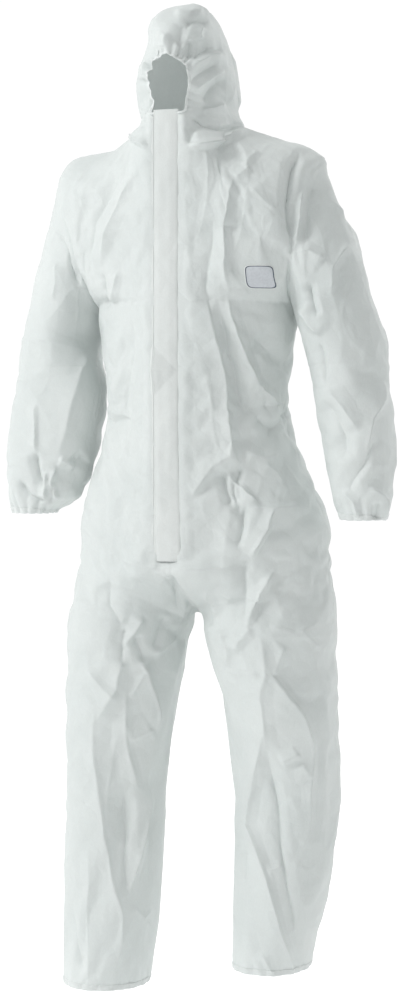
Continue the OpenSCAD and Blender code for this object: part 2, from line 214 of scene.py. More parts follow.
def leg_ring(side, a, z):
    """A point round the leg: a in degrees from the outside (0) over the back (90) to the inside."""
    w = lookup(z, [(HEM_Z[side], 0.072), (-1.330, 0.082), (KNEE_Z, 0.086), (FORK_Z, LEG_W)])
    d = lookup(z, [(HEM_Z[side], 0.084), (-1.330, 0.094), (KNEE_Z, 0.102), (FORK_Z, LEG_D)])
    xs, ys = LEG_TABLES[side]
    t = math.radians(a)
    return (lookup(z, xs) + w * math.cos(t), lookup(z, ys) + d * math.sin(t), z)


# ---------------------------------------------------------------- grids of the whole suit

CHEST_ROWS, BODY_ROWS, SLEEVE_ROWS, LEG_ROWS, HOOD_ROWS = 32, 64, 60, 68, 22
GUSSET_COLS = 6
ELBOW_ROW = 34
KNEE_ROW = 32

Grid = namedtuple("Grid", "panel side rows")


def mirrored(rows, side):
    return [[(p[0] * SIDES[side], p[1], p[2]) for p in row] for row in rows]


def gap_of(face):
    return ZIP_EDGE if face < 0 else 0.0


def upper_rows(face):
    cols = columns(face, gap_of(face))
    lifts = [math.sin(math.pi / 2 * j / CHEST_ROWS) * 0.35 + 0.65 * j / CHEST_ROWS
             for j in range(CHEST_ROWS + 1)]
    return [[upper_body(across, top, v, face) for across, top in cols] for v in lifts]


def lower_rows(face):
    last = len(columns(face, gap_of(face))) - 1
    return [[lower_body(i / last, j / BODY_ROWS, face, gap_of(face)) for i in range(last + 1)]
            for j in range(BODY_ROWS + 1)]


def sleeve_rows(front_edge, back_edge):
    """Rings from the armhole down: the armhole's own points, eased into level rings."""
    armhole = front_edge + back_edge[-2:0:-1]
    n = len(armhole)
    turns = [math.degrees(math.pi * i / (n / 2)) for i in range(n)]
    rows = []
    for j in range(SLEEVE_ROWS + 1):
        z_level = mix(ELBOW_Z, CUFF_Z, (j - ELBOW_ROW) / (SLEEVE_ROWS - ELBOW_ROW))
        if j >= ELBOW_ROW:
            rows.append([arm_ring(a, z_level) for a in turns])
            continue
        s = j / ELBOW_ROW
        row = []
        for p, a in zip(armhole, turns):
            q = arm_ring(a, ELBOW_Z)
            out = 0.010 * math.sin(math.pi * s) * max(0.0, -math.cos(math.radians(a)))
            row.append((mix(p[0], q[0], s) + out, mix(p[1], q[1], s), mix(p[2], q[2], s)))
        rows.append(row)
    return [row + row[:1] for row in rows]


def leg_rows(side, ring):
    """Rings from the fork down; ring is the fork's own ring, from the outside over the back."""
    n = len(ring)
    rows = []
    for j in range(LEG_ROWS + 1):
        if j <= KNEE_ROW:
            z = mix(FORK_Z, KNEE_Z, j / KNEE_ROW)
        else:
            z = mix(KNEE_Z, HEM_Z[side], (j - KNEE_ROW) / (LEG_ROWS - KNEE_ROW))
        row = [leg_ring(side, 360 * i / n, z) for i in range(n)]
        blend = ease(j / 8)
        row = [tuple(mix(a, b, blend) for a, b in zip(p, q)) for p, q in zip(ring, row)]
        rows.append(row + row[:1])
    return rows


HOOD_CROWN_Z = HOOD_MID_Z + (HOOD_TOP - HOOD_MID_Z) * arch(STRIP_W * 1.06 / HOOD_W)


def hood_side_rows():
    rows = []
    for j in range(HOOD_ROWS + 1):
        z_level = mix(NECK_Z, HOOD_CROWN_Z, j / HOOD_ROWS)
        edge = math.degrees(math.asin(STRIP_W / (HOOD_W * dome(z_level))))
        row = []
        for i in range(2 * SIDE_STEPS + 1):
            turn = mix(edge, 180 - edge, i / (2 * SIDE_STEPS))
            base = neckline(turn)
            z = mix(base[2], HOOD_CROWN_Z, j / HOOD_ROWS)
            x, y, _ = hood_ring(turn, z_level)
            settle = (1 - j / HOOD_ROWS) ** 3
            row.append((x, mix(y, base[1], settle), z))
        rows.append(row)
    return rows


def strip_rows(side_rows, face_row):
    """The centre strip between the two hood sides: from the face over the crown down to the neck."""
    edge = [row[0] for row in side_rows[face_row:]] + side_rows[-1][1:-1]
    edge += [row[-1] for row in reversed(side_rows)]
    rows = []
    for x, y, z in edge:
        row = []
        for s in np.linspace(-1, 1, 7):
            rise = (arch(s * x / HOOD_W) - arch(x / HOOD_W)) / arch(x / HOOD_W)
            up = max(0.0, z - HOOD_MID_Z)
            row.append((s * x, y + (y - hood_y(z)) * rise, z + up * rise))
        rows.append(row)
    rows[-1] = [neckline(180 - s * EDGE_TURN) for s in np.linspace(-1, 1, 7)]
    return rows


def gusset_rows(front, back):
    """The strip between the two inner panel edges, from the zip's end under the fork to the seat."""
    first = next(j for j, row in enumerate(front) if row[0][2] < ZIP_END_Z - 0.004)
    top_back = next(j for j, row in enumerate(back) if row[0][0] > 0.001) - 1
    edge = [row[0] for row in front[first:]] + [row[0] for row in reversed(back[top_back:-1])]
    rows = []
    for j, (x, y, z) in enumerate(edge):
        t = j / (len(edge) - 1)
        rows.append([(x * s, y, z + FORK_ARCH * (1 - s * s) * math.sin(math.pi * t) ** 2)
                     for s in np.linspace(-1, 1, GUSSET_COLS + 1)])
    return rows


def all_grids():
    grids = []
    front, back = upper_rows(-1), upper_rows(1)
    low_front, low_back = lower_rows(-1), lower_rows(1)
    hood = hood_side_rows()
    face_row = next(j for j, row in enumerate(hood) if row[0][2] > FACE_TOP)
    for side in SIDES:
        grids.append(Grid("chest", side, mirrored(front, side)))
        grids.append(Grid("upper_back", side, mirrored(back, side)))
        grids.append(Grid("lower_front", side, mirrored(low_front, side)))
        grids.append(Grid("lower_back", side, mirrored(low_back, side)))
        sleeve = sleeve_rows([row[-1] for row in front], [row[-1] for row in back])
        grids.append(Grid("upper_sleeve", side, mirrored(sleeve[:ELBOW_ROW + 1], side)))
        grids.append(Grid("lower_sleeve", side, mirrored(sleeve[ELBOW_ROW:], side)))
        ring = low_back[-1][::-1] + low_front[-1][1:-1]
        legs = leg_rows(side, ring)
        grids.append(Grid("upper_leg", side, mirrored(legs[:KNEE_ROW + 1], side)))
        grids.append(Grid("lower_leg", side, mirrored(legs[KNEE_ROW:], side)))
        grids.append(Grid("hood", side, mirrored(hood, side)))
    grids.append(Grid("hood_centre", None, strip_rows(hood, face_row)))
    grids.append(Grid("gusset", None, gusset_rows(low_front, low_back)))
    return grids


def sew(grids, weld=0.0014):
    """One welded mesh of every grid, with each face's panel number."""
    bm = bmesh.new()
    panel = bm.faces.layers.int.new("panel")
    for number, grid in enumerate(grids):
        verts = [[bm.verts.new(p) for p in row] for row in grid.rows]
        for j in range(len(verts) - 1):
            for i in range(len(verts[0]) - 1):
                corners = (verts[j][i], verts[j][i + 1], verts[j + 1][i + 1], verts[j + 1][i])
                face = bm.faces.new(corners)
                face[panel] = number
    bmesh.ops.remove_doubles(bm, verts=bm.verts, dist=weld)
    bmesh.ops.dissolve_degenerate(bm, edges=bm.edges, dist=weld / 4)
    bmesh.ops.recalc_face_normals(bm, faces=bm.faces)
    return bm


def mesh_object(name, bm):
    mesh = bpy.data.meshes.new(name)
    bm.to_mesh(mesh)
    obj = bpy.data.objects.new(name, mesh)
    bpy.context.scene.collection.objects.link(obj)
    return obj


def points_of(obj):
    flat = np.empty(len(obj.data.vertices) * 3)
    obj.data.vertices.foreach_get("co", flat)
    return flat.reshape(-1, 3)


def normals_of(obj):
    flat = np.empty(len(obj.data.vertices) * 3)
    obj.data.vertices.foreach_get("normal", flat)
    return flat.reshape(-1, 3)


def move_points(obj, points):
    obj.data.vertices.foreach_set("co", np.ascontiguousarray(points).ravel())
    obj.data.update()


# ---------------------------------------------------------------- simulation

SIM_FRAMES = 30
GROWTH = 0.06
BODY_CLEARANCE = 0.010
LIMB_CLEARANCE = 0.016
FORK_CLEARANCE = 0.024
MOST_MOVE = 0.024


def smooth_step(t):
    c = np.clip(t, 0, 1)
    return c * c * (3 - 2 * c)


def clearance(p):
    """How far inside the suit the wearer's body lies, at each point."""
    limb = np.maximum(smooth_step((np.abs(p[:, 0]) - 0.20) / 0.05), smooth_step((-0.70 - p[:, 2]) / 0.1))
    fork = np.exp(-((p[:, 2] + 0.74) / 0.10) ** 2 - (p[:, 0] / 0.12) ** 2)
    base = mix(BODY_CLEARANCE, LIMB_CLEARANCE, limb)
    return mix(base, FORK_CLEARANCE, fork)


def group(obj, name, weights):
    g = obj.vertex_groups.new(name=name)
    for i, w in enumerate(weights):
        if w > 0.001:
            g.add([i], float(w), "REPLACE")
    return name


def kept_share(p):
    """How much of the simulated crumple stays: less on the stiff sleeves and where trunk turns into legs."""
    arm = smooth_step((np.abs(p[:, 0]) - 0.20) / 0.04) * (p[:, 2] > CUFF_Z - 0.05)
    leg = smooth_step((-0.86 - p[:, 2]) / 0.08)
    fork = np.exp(-((p[:, 2] - FORK_Z) / 0.035) ** 2)
    return 0.55 * (1 - 0.40 * arm) * (1 - 0.20 * leg) * (1 - 0.75 * fork)


def simulate(suit):
    """The suit's cloth grows a little over a slimmer body and is held at its edges, so it crumples."""
    base = points_of(suit)
    normals = normals_of(suit)
    body = suit.copy()
    body.data = suit.data.copy()
    bpy.context.scene.collection.objects.link(body)
    move_points(body, base - normals * clearance(base)[:, None])
    body.modifiers.new("Collision", "COLLISION")
    body.collision.thickness_outer = 0.002
    body.collision.cloth_friction = 8

    jitter = np.array([noise.noise(Vector(p) * 22) for p in base])
    move_points(suit, base + normals * (jitter * 0.003)[:, None])
    edge = np.zeros(len(base))
    for e in boundary_points(suit):
        edge[e] = 1
    crown = smooth_step((base[:, 2] - 0.235) / 0.05) * 0.6
    pin = group(suit, "pin", np.maximum(edge, crown))
    band = np.exp(-((base[:, 2] - WAIST_Z) / 0.010) ** 2) * (np.abs(base[:, 0]) < 0.19)
    band *= np.maximum(smooth_step((base[:, 1] + 0.02) / 0.03),
                       smooth_step((np.abs(base[:, 0]) - 0.10) / 0.05))
    hood = smooth_step((base[:, 2] - 0.07) / 0.04)
    tight = group(suit, "tight", np.clip(np.maximum(band, hood * 0.45), 0, 1))

    mod = suit.modifiers.new("Cloth", "CLOTH")
    cloth = mod.settings
    cloth.quality = 5
    cloth.mass = 0.01
    cloth.air_damping = 2
    cloth.bending_model = "ANGULAR"
    cloth.tension_stiffness = cloth.compression_stiffness = 25
    cloth.shear_stiffness = 12
    cloth.bending_stiffness = 0.08
    cloth.tension_damping = cloth.compression_damping = 6
    cloth.shear_damping = 6
    cloth.vertex_group_mass = pin
    cloth.shrink_min = -GROWTH
    cloth.shrink_max = 0.06
    cloth.vertex_group_shrink = tight
    cloth.effector_weights.gravity = 0.35
    mod.collision_settings.distance_min = 0.002
    mod.collision_settings.collision_quality = 2
    mod.point_cache.frame_start = 1
    mod.point_cache.frame_end = SIM_FRAMES + 1
    scene = bpy.context.scene
    for f in range(1, SIM_FRAMES + 1):
        scene.frame_set(f)
    done = suit.evaluated_get(bpy.context.evaluated_depsgraph_get())
    flat = np.empty(len(base) * 3)
    done.data.vertices.foreach_get("co", flat)
    moved = flat.reshape(-1, 3) - base
    suit.modifiers.clear()
    scene.frame_set(1)
    bpy.data.objects.remove(body)
    moved *= kept_share(base)[:, None]
    size = np.linalg.norm(moved, axis=1)
    limit = MOST_MOVE * np.tanh(size / MOST_MOVE) / np.maximum(size, 1e-9)
    move_points(suit, base + moved * limit[:, None])


def boundary_points(obj):
    bm = bmesh.new()
    bm.from_mesh(obj.data)
    found = [v.index for v in bm.verts if v.is_boundary]
    bm.free()
    return found


# ---------------------------------------------------------------- camera, light and floor

CAMERA_TURN = 22
CAMERA_AWAY = 4.2
CAMERA_Z = -0.38
AIM = Vector((0.0, 0.0, -0.572))
SEEN_HEIGHT = 1.800


def add_camera():
    data = bpy.data.cameras.new("camera")
    cam = bpy.data.objects.new("camera", data)
    turn = math.radians(CAMERA_TURN)
    cam.location = (CAMERA_AWAY * math.sin(turn), -CAMERA_AWAY * math.cos(turn), CAMERA_Z)
    aim = AIM - cam.location
    cam.rotation_euler = aim.to_track_quat("-Z", "Y").to_euler()
    data.sensor_width = 36
    data.lens = 36 * CAMERA_AWAY / SEEN_HEIGHT
    bpy.context.scene.collection.objects.link(cam)
    bpy.context.scene.camera = cam


def area_light(name, place, target, size, power):
    data = bpy.data.lights.new(name, "AREA")
    data.shape = "RECTANGLE"
    data.size, data.size_y = size
    data.energy = power
    lamp = bpy.data.objects.new(name, data)
    lamp.location = place
    lamp.rotation_euler = (Vector(target) - Vector(place)).to_track_quat("-Z", "Y").to_euler()
    bpy.context.scene.collection.objects.link(lamp)


SOFTBOX_SIDE = (-0.78, 0.48, 0.40)


def add_light():
    world = bpy.data.worlds.new("studio")
    world.use_nodes = True
    back = world.node_tree.nodes["Background"]
    back.inputs["Color"].default_value = (1, 1, 1, 1)
    tree = world.node_tree
    way = tree.nodes.new("ShaderNodeTexCoord")
    toward = tree.nodes.new("ShaderNodeVectorMath")
    toward.operation = "DOT_PRODUCT"
    toward.inputs[1].default_value = SOFTBOX_SIDE
    level = add(tree, "ShaderNodeMapRange", From_Min=-0.7, From_Max=0.5, To_Min=0.46, To_Max=1.03)
    level.interpolation_type = "SMOOTHSTEP"
    tree.links.new(way.outputs["Generated"], toward.inputs[0])
    tree.links.new(toward.outputs["Value"], level.inputs["Value"])
    tree.links.new(level.outputs["Result"], back.inputs["Strength"])
    bpy.context.scene.world = world
    area_light("key", (-2.6, -2.7, 2.1), (0, 0, -0.35), (1.1, 1.3), 90)
    area_light("back", (1.8, 3.0, 1.2), (0, 0, -0.5), (1.6, 2.0), 30)


def add_floor():
    low = min(HEM_Z.values()) - 0.09
    bm = bmesh.new()
    bmesh.ops.create_grid(bm, x_segments=1, y_segments=1, size=14)
    floor = mesh_object("floor", bm)
    floor.location.z = low
    mat = bpy.data.materials.new("floor")
    mat.use_nodes = True
    shader = mat.node_tree.nodes["Principled BSDF"]
    shader.inputs["Base Color"].default_value = (0.93, 0.93, 0.93, 1)
    shader.inputs["Roughness"].default_value = 0.9
    shader.inputs["Emission Color"].default_value = (1, 1, 1, 1)
    shader.inputs["Emission Strength"].default_value = 0.22
    floor.data.materials.append(mat)


# ---------------------------------------------------------------- the face opening and the flap's channel

# Half the opening's width at each height: (height, half width)
OPENING = [(0.100, 0.030), (0.118, 0.027), (0.140, 0.034), (0.165, 0.037), (0.188, 0.036), (0.205, 0.030),
           (0.213, 0.020)]


def shape_opening(points):
    """The gathered opening: narrow at the chin, widest at the cheeks, its brow lowered and arched."""
    out = points.copy()
    x, y, z = points.T
    wanted = np.interp(z, [r[0] for r in OPENING], [r[1] for r in OPENING])
    near = smooth_step((0.085 - np.abs(x)) / 0.045) * smooth_step((-0.09 - y) / 0.04)
    near *= smooth_step((z - 0.096) / 0.012) * smooth_step((0.275 - z) / 0.06)
    out[:, 0] = x * mix(1.0, wanted / STRIP_W, near)
    lowered = near * 0.016 * smooth_step((z - 0.15) / 0.06)
    arched = near * 0.004 * np.cos(np.clip(x / STRIP_W, -1, 1) * math.pi) * smooth_step((z - 0.19) / 0.02)
    out[:, 2] = z - lowered + arched
    return out


def flap_cover(points):
    """1 under the storm flap, 0 away from it."""
    x, y, z = points.T
    along = smooth_step((z - FLAP[0][2] + 0.01) / 0.02) * smooth_step((FLAP[1][2] + 0.004 - z) / 0.01)
    return smooth_step((0.050 - np.abs(x)) / 0.022) * along * (y < MID_Y)


def flush_flap(points):
    """The cloth beside the flap stands almost as proud as the flap, so that the flap lies in it."""
    x, y, z = points.T
    a = np.abs(x)
    beside = np.maximum(smooth_step((a - 0.016) / 0.007), smooth_step((FLAP[0][2] + 0.004 - z) / 0.010))
    rise = beside * (1 - smooth_step((a - 0.036) / 0.060))
    rise *= smooth_step((z + 0.76) / 0.09) * smooth_step((0.10 - z) / 0.05) * (y < MID_Y)
    out = points.copy()
    out[:, 1] = y - 0.0062 * rise
    return out


# ---------------------------------------------------------------- folds drawn

# Seen in a plane turned a little to the wearer's left: (across, height) in metres, height and width in mm
FOLD_TURN = math.radians(22)
FOLD_GAIN = 1.75
Fold = namedtuple("Fold", "part kind high wide path")


def ridge(part, high, wide, *path):
    return Fold(part, "ridge", high, wide, path)


def crease(part, high, wide, *path):
    return Fold(part, "crease", high, wide, path)


def lap(part, high, wide, *path):
    return Fold(part, "lap", high, wide, path)


LEG_FOLDS = [
    ridge("body", 6, 20, (-0.135, -0.83), (-0.155, -0.90), (-0.192, -0.965)),
    ridge("body", 8, 22, (-0.196, -0.92), (-0.196, -0.97), (-0.187, -1.06), (-0.175, -1.17), (-0.160, -1.24),
          (-0.150, -1.30), (-0.150, -1.34), (-0.163, -1.46)),
    ridge("body", 4, 9, (-0.140, -0.89), (-0.138, -0.96), (-0.132, -1.02), (-0.120, -1.08), (-0.095, -1.094)),
    lap("body", 8, 20, (-0.094, -1.07), (-0.098, -1.12), (-0.110, -1.18), (-0.134, -1.28)),
    crease("body", 7, 14, (-0.143, -1.07), (-0.142, -1.14), (-0.140, -1.20), (-0.134, -1.28)),
    crease("body", 3, 10, (-0.090, -1.04), (-0.094, -1.16), (-0.096, -1.28)),
    crease("body", 6, 8, (-0.053, -0.69), (-0.046, -0.735), (-0.047, -0.765)),
    ridge("body", 5, 8, (-0.032, -0.745), (-0.053, -0.805)),
    ridge("body", 6, 9, (-0.048, -0.812), (-0.068, -0.828), (-0.092, -0.845)),
    crease("body", 5, 7, (-0.062, -0.775), (-0.076, -0.80), (-0.088, -0.838)),
    ridge("body", 7, 10, (-0.120, -0.838), (-0.099, -0.871), (-0.095, -0.90), (-0.082, -0.945),
          (-0.083, -0.985)),
    ridge("body", 5, 8, (-0.102, -0.775), (-0.120, -0.80), (-0.140, -0.826)),
    crease("body", 6, 11, (-0.134, -0.785), (-0.141, -0.82), (-0.139, -0.86)),
    crease("body", 5, 7, (-0.122, -0.80), (-0.108, -0.83), (-0.098, -0.86)),
    ridge("body", 3, 8, (-0.101, -0.875), (-0.132, -0.922)),
    ridge("body", 3, 8, (-0.036, -0.82), (-0.053, -0.89)),
    ridge("body", 4, 13, (-0.090, -0.974), (-0.130, -0.997)),
    ridge("body", 3, 10, (-0.21, -0.86), (-0.18, -0.90), (-0.15, -0.93)),
    crease("body", 3, 9, (-0.235, -1.30), (-0.228, -1.36), (-0.212, -1.42)),
    ridge("body", 3, 12, (-0.20, -1.18), (-0.207, -1.30), (-0.205, -1.45)),
    ridge("body", 3, 9, (-0.13, -1.29), (-0.11, -1.315), (-0.095, -1.30)),
    lap("body", 8, 26, (0.098, -0.83), (0.125, -0.875), (0.170, -0.938), (0.186, -0.985), (0.188, -1.05),
        (0.187, -1.10), (0.182, -1.18)),
    ridge("body", 5, 13, (0.098, -0.785), (0.106, -0.86), (0.098, -0.90), (0.103, -0.95), (0.113, -1.01)),
    lap("body", 7, 20, (0.106, -0.94), (0.100, -1.00), (0.079, -1.135), (0.108, -1.22), (0.150, -1.37),
        (0.163, -1.43)),
    crease("body", 7, 15, (0.110, -0.99), (0.124, -1.08), (0.139, -1.19), (0.155, -1.28), (0.170, -1.37)),
    ridge("body", 5, 8, (0.004, -0.715), (0.014, -0.735), (0.030, -0.770)),
    crease("body", 5, 7, (0.011, -0.735), (0.013, -0.76), (0.011, -0.792)),
    ridge("body", 3, 7, (0.022, -0.713), (0.052, -0.740)),
    lap("body", 7, 13, (0.124, -0.678), (0.101, -0.725), (0.076, -0.790)),
    crease("body", 4, 9, (0.072, -0.66), (0.074, -0.72), (0.073, -0.785)),
    ridge("body", 4, 7, (0.028, -0.79), (0.045, -0.825), (0.042, -0.86)),
    ridge("body", 4, 8, (0.088, -0.785), (0.065, -0.81), (0.055, -0.835)),
    ridge("body", 3, 10, (0.110, -0.778), (0.157, -0.793), (0.208, -0.774)),
    ridge("body", 4, 8, (0.141, -0.81), (0.119, -0.862)),
    ridge("body", 3, 8, (0.162, -0.785), (0.205, -0.825)),
    ridge("body", 2, 9, (0.035, -0.866), (0.10, -0.861)),
    ridge("body", 3, 7, (0.165, -1.00), (0.135, -1.022)),
    ridge("body", 3, 8, (0.168, -1.02), (0.187, -1.05)),
    crease("body", 3, 8, (0.075, -1.18), (0.070, -1.25)),
    ridge("body", 3, 9, (0.10, -1.35), (0.135, -1.43)),
    ridge("body", 3, 9, (0.11, -1.215), (0.140, -1.205)),
]

TORSO_FOLDS = [
    lap("body", 9, 30, (0.004, -0.19), (0.012, -0.24), (0.026, -0.30), (0.040, -0.37), (0.046, -0.45),
        (0.056, -0.52)),
    crease("body", 9, 20, (0.028, -0.22), (0.046, -0.30), (0.062, -0.37), (0.078, -0.43)),
    ridge("body", 8, 13, (0.036, -0.20), (0.050, -0.25), (0.066, -0.30), (0.090, -0.362), (0.122, -0.398),
          (0.155, -0.406)),
    crease("body", 5, 22, (0.085, -0.28), (0.12, -0.31), (0.15, -0.35)),
    ridge("body", 4, 8, (0.116, -0.392), (0.127, -0.42), (0.140, -0.450)),
    crease("body", 4, 7, (0.090, -0.42), (0.110, -0.434), (0.125, -0.440)),
    crease("body", 5, 8, (0.150, -0.410), (0.135, -0.425), (0.110, -0.455)),
    ridge("body", 4, 8, (0.052, -0.455), (0.045, -0.49), (0.014, -0.505), (-0.028, -0.568)),
    crease("body", 6, 6, (0.031, -0.51), (0.036, -0.54), (0.045, -0.578)),
    ridge("body", 6, 6, (0.036, -0.518), (0.060, -0.54), (0.092, -0.570)),
    crease("body", 5, 6, (0.064, -0.50), (0.056, -0.53), (0.062, -0.568)),
    crease("body", 5, 6, (0.048, -0.52), (0.050, -0.55), (0.062, -0.59)),
    crease("body", 7, 9, (0.070, -0.570), (0.065, -0.61), (0.055, -0.652)),
    ridge("body", 4, 9, (0.070, -0.575), (0.122, -0.580), (0.175, -0.575)),
    lap("body", 6, 10, (0.124, -0.575), (0.111, -0.614), (0.080, -0.664)),
    ridge("body", 3, 9, (0.10, -0.50), (0.125, -0.515), (0.140, -0.54)),
    ridge("body", 4, 14, (0.070, -0.48), (0.105, -0.492), (0.135, -0.48)),
    crease("body", 5, 9, (-0.047, -0.565), (-0.042, -0.61), (-0.032, -0.668)),
    ridge("body", 6, 24, (-0.165, -0.668), (-0.10, -0.682), (-0.033, -0.686), (0.03, -0.682),
          (0.075, -0.668)),
    crease("body", 4, 14, (-0.166, -0.70), (-0.165, -0.755), (-0.145, -0.785), (-0.105, -0.780)),
    ridge("body", 4, 12, (-0.11, -0.64), (-0.07, -0.665), (-0.05, -0.655)),
    ridge("body", 3, 9, (-0.10, -0.505), (-0.075, -0.52), (-0.052, -0.515)),
    crease("body", 5, 18, (-0.140, 0.018), (-0.165, -0.030), (-0.192, -0.078), (-0.203, -0.150)),
    ridge("body", 4, 14, (-0.125, 0.000), (-0.150, -0.05), (-0.175, -0.10), (-0.183, -0.16)),
    crease("body", 4, 7, (-0.183, -0.165), (-0.176, -0.20), (-0.168, -0.235)),
    ridge("body", 4, 7, (-0.150, -0.165), (-0.157, -0.19), (-0.163, -0.222)),
    crease("body", 4, 16, (-0.125, -0.23), (-0.128, -0.32), (-0.140, -0.40), (-0.130, -0.47)),
    ridge("body", 4, 16, (-0.165, -0.26), (-0.162, -0.36), (-0.15, -0.44)),
    crease("body", 4, 13, (-0.195, -0.41), (-0.16, -0.43), (-0.13, -0.425)),
    lap("body", 7, 24, (0.055, 0.000), (0.045, -0.05), (0.034, -0.09), (0.032, -0.155), (0.044, -0.215)),
    crease("body", 5, 14, (0.018, -0.07), (0.010, -0.14), (0.006, -0.20), (0.020, -0.27)),
    ridge("body", 3, 7, (0.080, 0.010), (0.066, -0.002), (0.056, -0.012)),
    ridge("body", 3, 8, (0.092, 0.042), (0.078, 0.026), (0.072, 0.008)),
    ridge("body", 3, 8, (0.040, -0.165), (0.056, -0.188), (0.078, -0.212)),
    ridge("body", 3, 14, (0.075, -0.02), (0.10, -0.05), (0.125, -0.07)),
    crease("body", 9, 10, (0.170, 0.045), (0.158, 0.010), (0.150, -0.055), (0.154, -0.125)),
    crease("body", 7, 12, (-0.030, 0.108), (0.000, 0.090), (0.030, 0.078), (0.070, 0.090)),
    lap("body", 9, 16, (0.078, 0.084), (0.045, 0.062), (0.017, 0.050), (-0.010, 0.045), (-0.034, 0.046)),
    lap("body", 7, 12, (-0.082, 0.044), (-0.100, 0.048), (-0.118, 0.062), (-0.130, 0.080)),
    crease("body", 6, 8, (-0.028, 0.085), (-0.024, 0.065), (-0.028, 0.048)),
]

SLEEVE_FOLDS = [
    ridge("arm", 7, 10, (0.182, 0.035), (0.172, -0.02), (0.166, -0.080), (0.157, -0.135)),
    crease("arm", 6, 18, (0.203, 0.000), (0.190, -0.045), (0.180, -0.100), (0.175, -0.13)),
    ridge("arm", 3, 6, (0.215, -0.040), (0.240, -0.060), (0.256, -0.095), (0.262, -0.140)),
    ridge("arm", 6, 11, (0.160, -0.140), (0.182, -0.136), (0.210, -0.150)),
    ridge("arm", 5, 10, (0.254, -0.118), (0.236, -0.14), (0.220, -0.165), (0.217, -0.220)),
    crease("arm", 6, 9, (0.183, -0.185), (0.188, -0.22), (0.197, -0.255)),
    lap("arm", 6, 18, (0.206, -0.285), (0.185, -0.264), (0.165, -0.225)),
    crease("arm", 4, 5, (0.198, -0.29), (0.206, -0.32), (0.211, -0.365)),
    crease("arm", 6, 18, (0.204, -0.385), (0.222, -0.415), (0.240, -0.45), (0.237, -0.50)),
    ridge("arm", 6, 16, (0.212, -0.365), (0.243, -0.418), (0.264, -0.447)),
    ridge("arm", 5, 12, (0.312, -0.35), (0.305, -0.39), (0.285, -0.425), (0.278, -0.50)),
    crease("arm", 4, 8, (0.295, -0.455), (0.278, -0.50), (0.255, -0.53), (0.249, -0.555)),
    ridge("arm", 5, 6, (0.280, -0.540), (0.302, -0.550), (0.314, -0.565), (0.309, -0.60)),
    crease("arm", 5, 5, (0.302, -0.565), (0.300, -0.60)),
    ridge("arm", 4, 7, (0.24, -0.545), (0.262, -0.565), (0.272, -0.60)),
    lap("arm", 4, 9, (-0.302, -0.395), (-0.302, -0.44), (-0.301, -0.490)),
    crease("arm", 7, 6, (-0.302, -0.485), (-0.298, -0.518), (-0.289, -0.555)),
    ridge("arm", 6, 6, (-0.262, -0.510), (-0.274, -0.540), (-0.265, -0.572)),
    ridge("arm", 5, 5, (-0.283, -0.52), (-0.286, -0.55), (-0.290, -0.575)),
    crease("arm", 5, 5, (-0.272, -0.545), (-0.277, -0.58)),
    ridge("arm", 5, 6, (-0.258, -0.496), (-0.240, -0.502), (-0.226, -0.515)),
    crease("arm", 6, 6, (-0.335, -0.536), (-0.318, -0.563), (-0.300, -0.574), (-0.280, -0.578)),
    ridge("arm", 8, 30, (-0.205, -0.29), (-0.225, -0.345), (-0.243, -0.405), (-0.258, -0.500)),
    crease("arm", 6, 10, (-0.268, -0.080), (-0.252, -0.115), (-0.236, -0.155), (-0.220, -0.19)),
    ridge("arm", 3, 12, (-0.35, -0.28), (-0.28, -0.285), (-0.21, -0.305)),
    ridge("arm", 3, 10, (-0.268, -0.14), (-0.266, -0.18), (-0.27, -0.215)),
    crease("arm", 5, 12, (-0.235, -0.49), (-0.222, -0.50), (-0.21, -0.49)),
]

HOOD_FOLDS = [
    crease("body", 5, 7, (0.040, 0.222), (0.008, 0.219), (-0.022, 0.193)),
    ridge("body", 5, 7, (0.034, 0.212), (0.012, 0.206), (-0.020, 0.182)),
    crease("body", 5, 8, (0.028, 0.196), (0.000, 0.175), (-0.024, 0.155)),
    ridge("body", 5, 8, (0.036, 0.184), (0.005, 0.160), (-0.026, 0.140)),
    crease("body", 5, 11, (0.036, 0.165), (0.015, 0.145), (0.000, 0.122)),
    ridge("body", 4, 7, (-0.004, 0.111), (0.016, 0.112), (0.042, 0.124)),
    ridge("body", 4, 8, (0.046, 0.20), (0.052, 0.16), (0.046, 0.12)),
    ridge("body", 4, 6, (-0.079, 0.202), (-0.084, 0.185), (-0.087, 0.165)),
    crease("body", 5, 5, (-0.091, 0.198), (-0.094, 0.185), (-0.093, 0.172)),
    ridge("body", 3, 6, (-0.099, 0.20), (-0.103, 0.18), (-0.102, 0.16)),
    ridge("body", 4, 8, (-0.050, 0.281), (-0.022, 0.280), (0.006, 0.291)),
    crease("body", 4, 6, (-0.031, 0.262), (-0.004, 0.269), (0.014, 0.268)),
    crease("body", 4, 8, (-0.028, 0.263), (-0.034, 0.24), (-0.040, 0.218)),
    ridge("body", 4, 6, (0.004, 0.262), (-0.004, 0.245), (-0.002, 0.232)),
    crease("body", 5, 7, (-0.016, 0.235), (-0.020, 0.212), (-0.028, 0.196)),
    ridge("body", 3, 8, (-0.060, 0.245), (-0.066, 0.225), (-0.068, 0.212)),
    ridge("body", 4, 12, (-0.108, 0.13), (-0.095, 0.11), (-0.098, 0.09)),
]

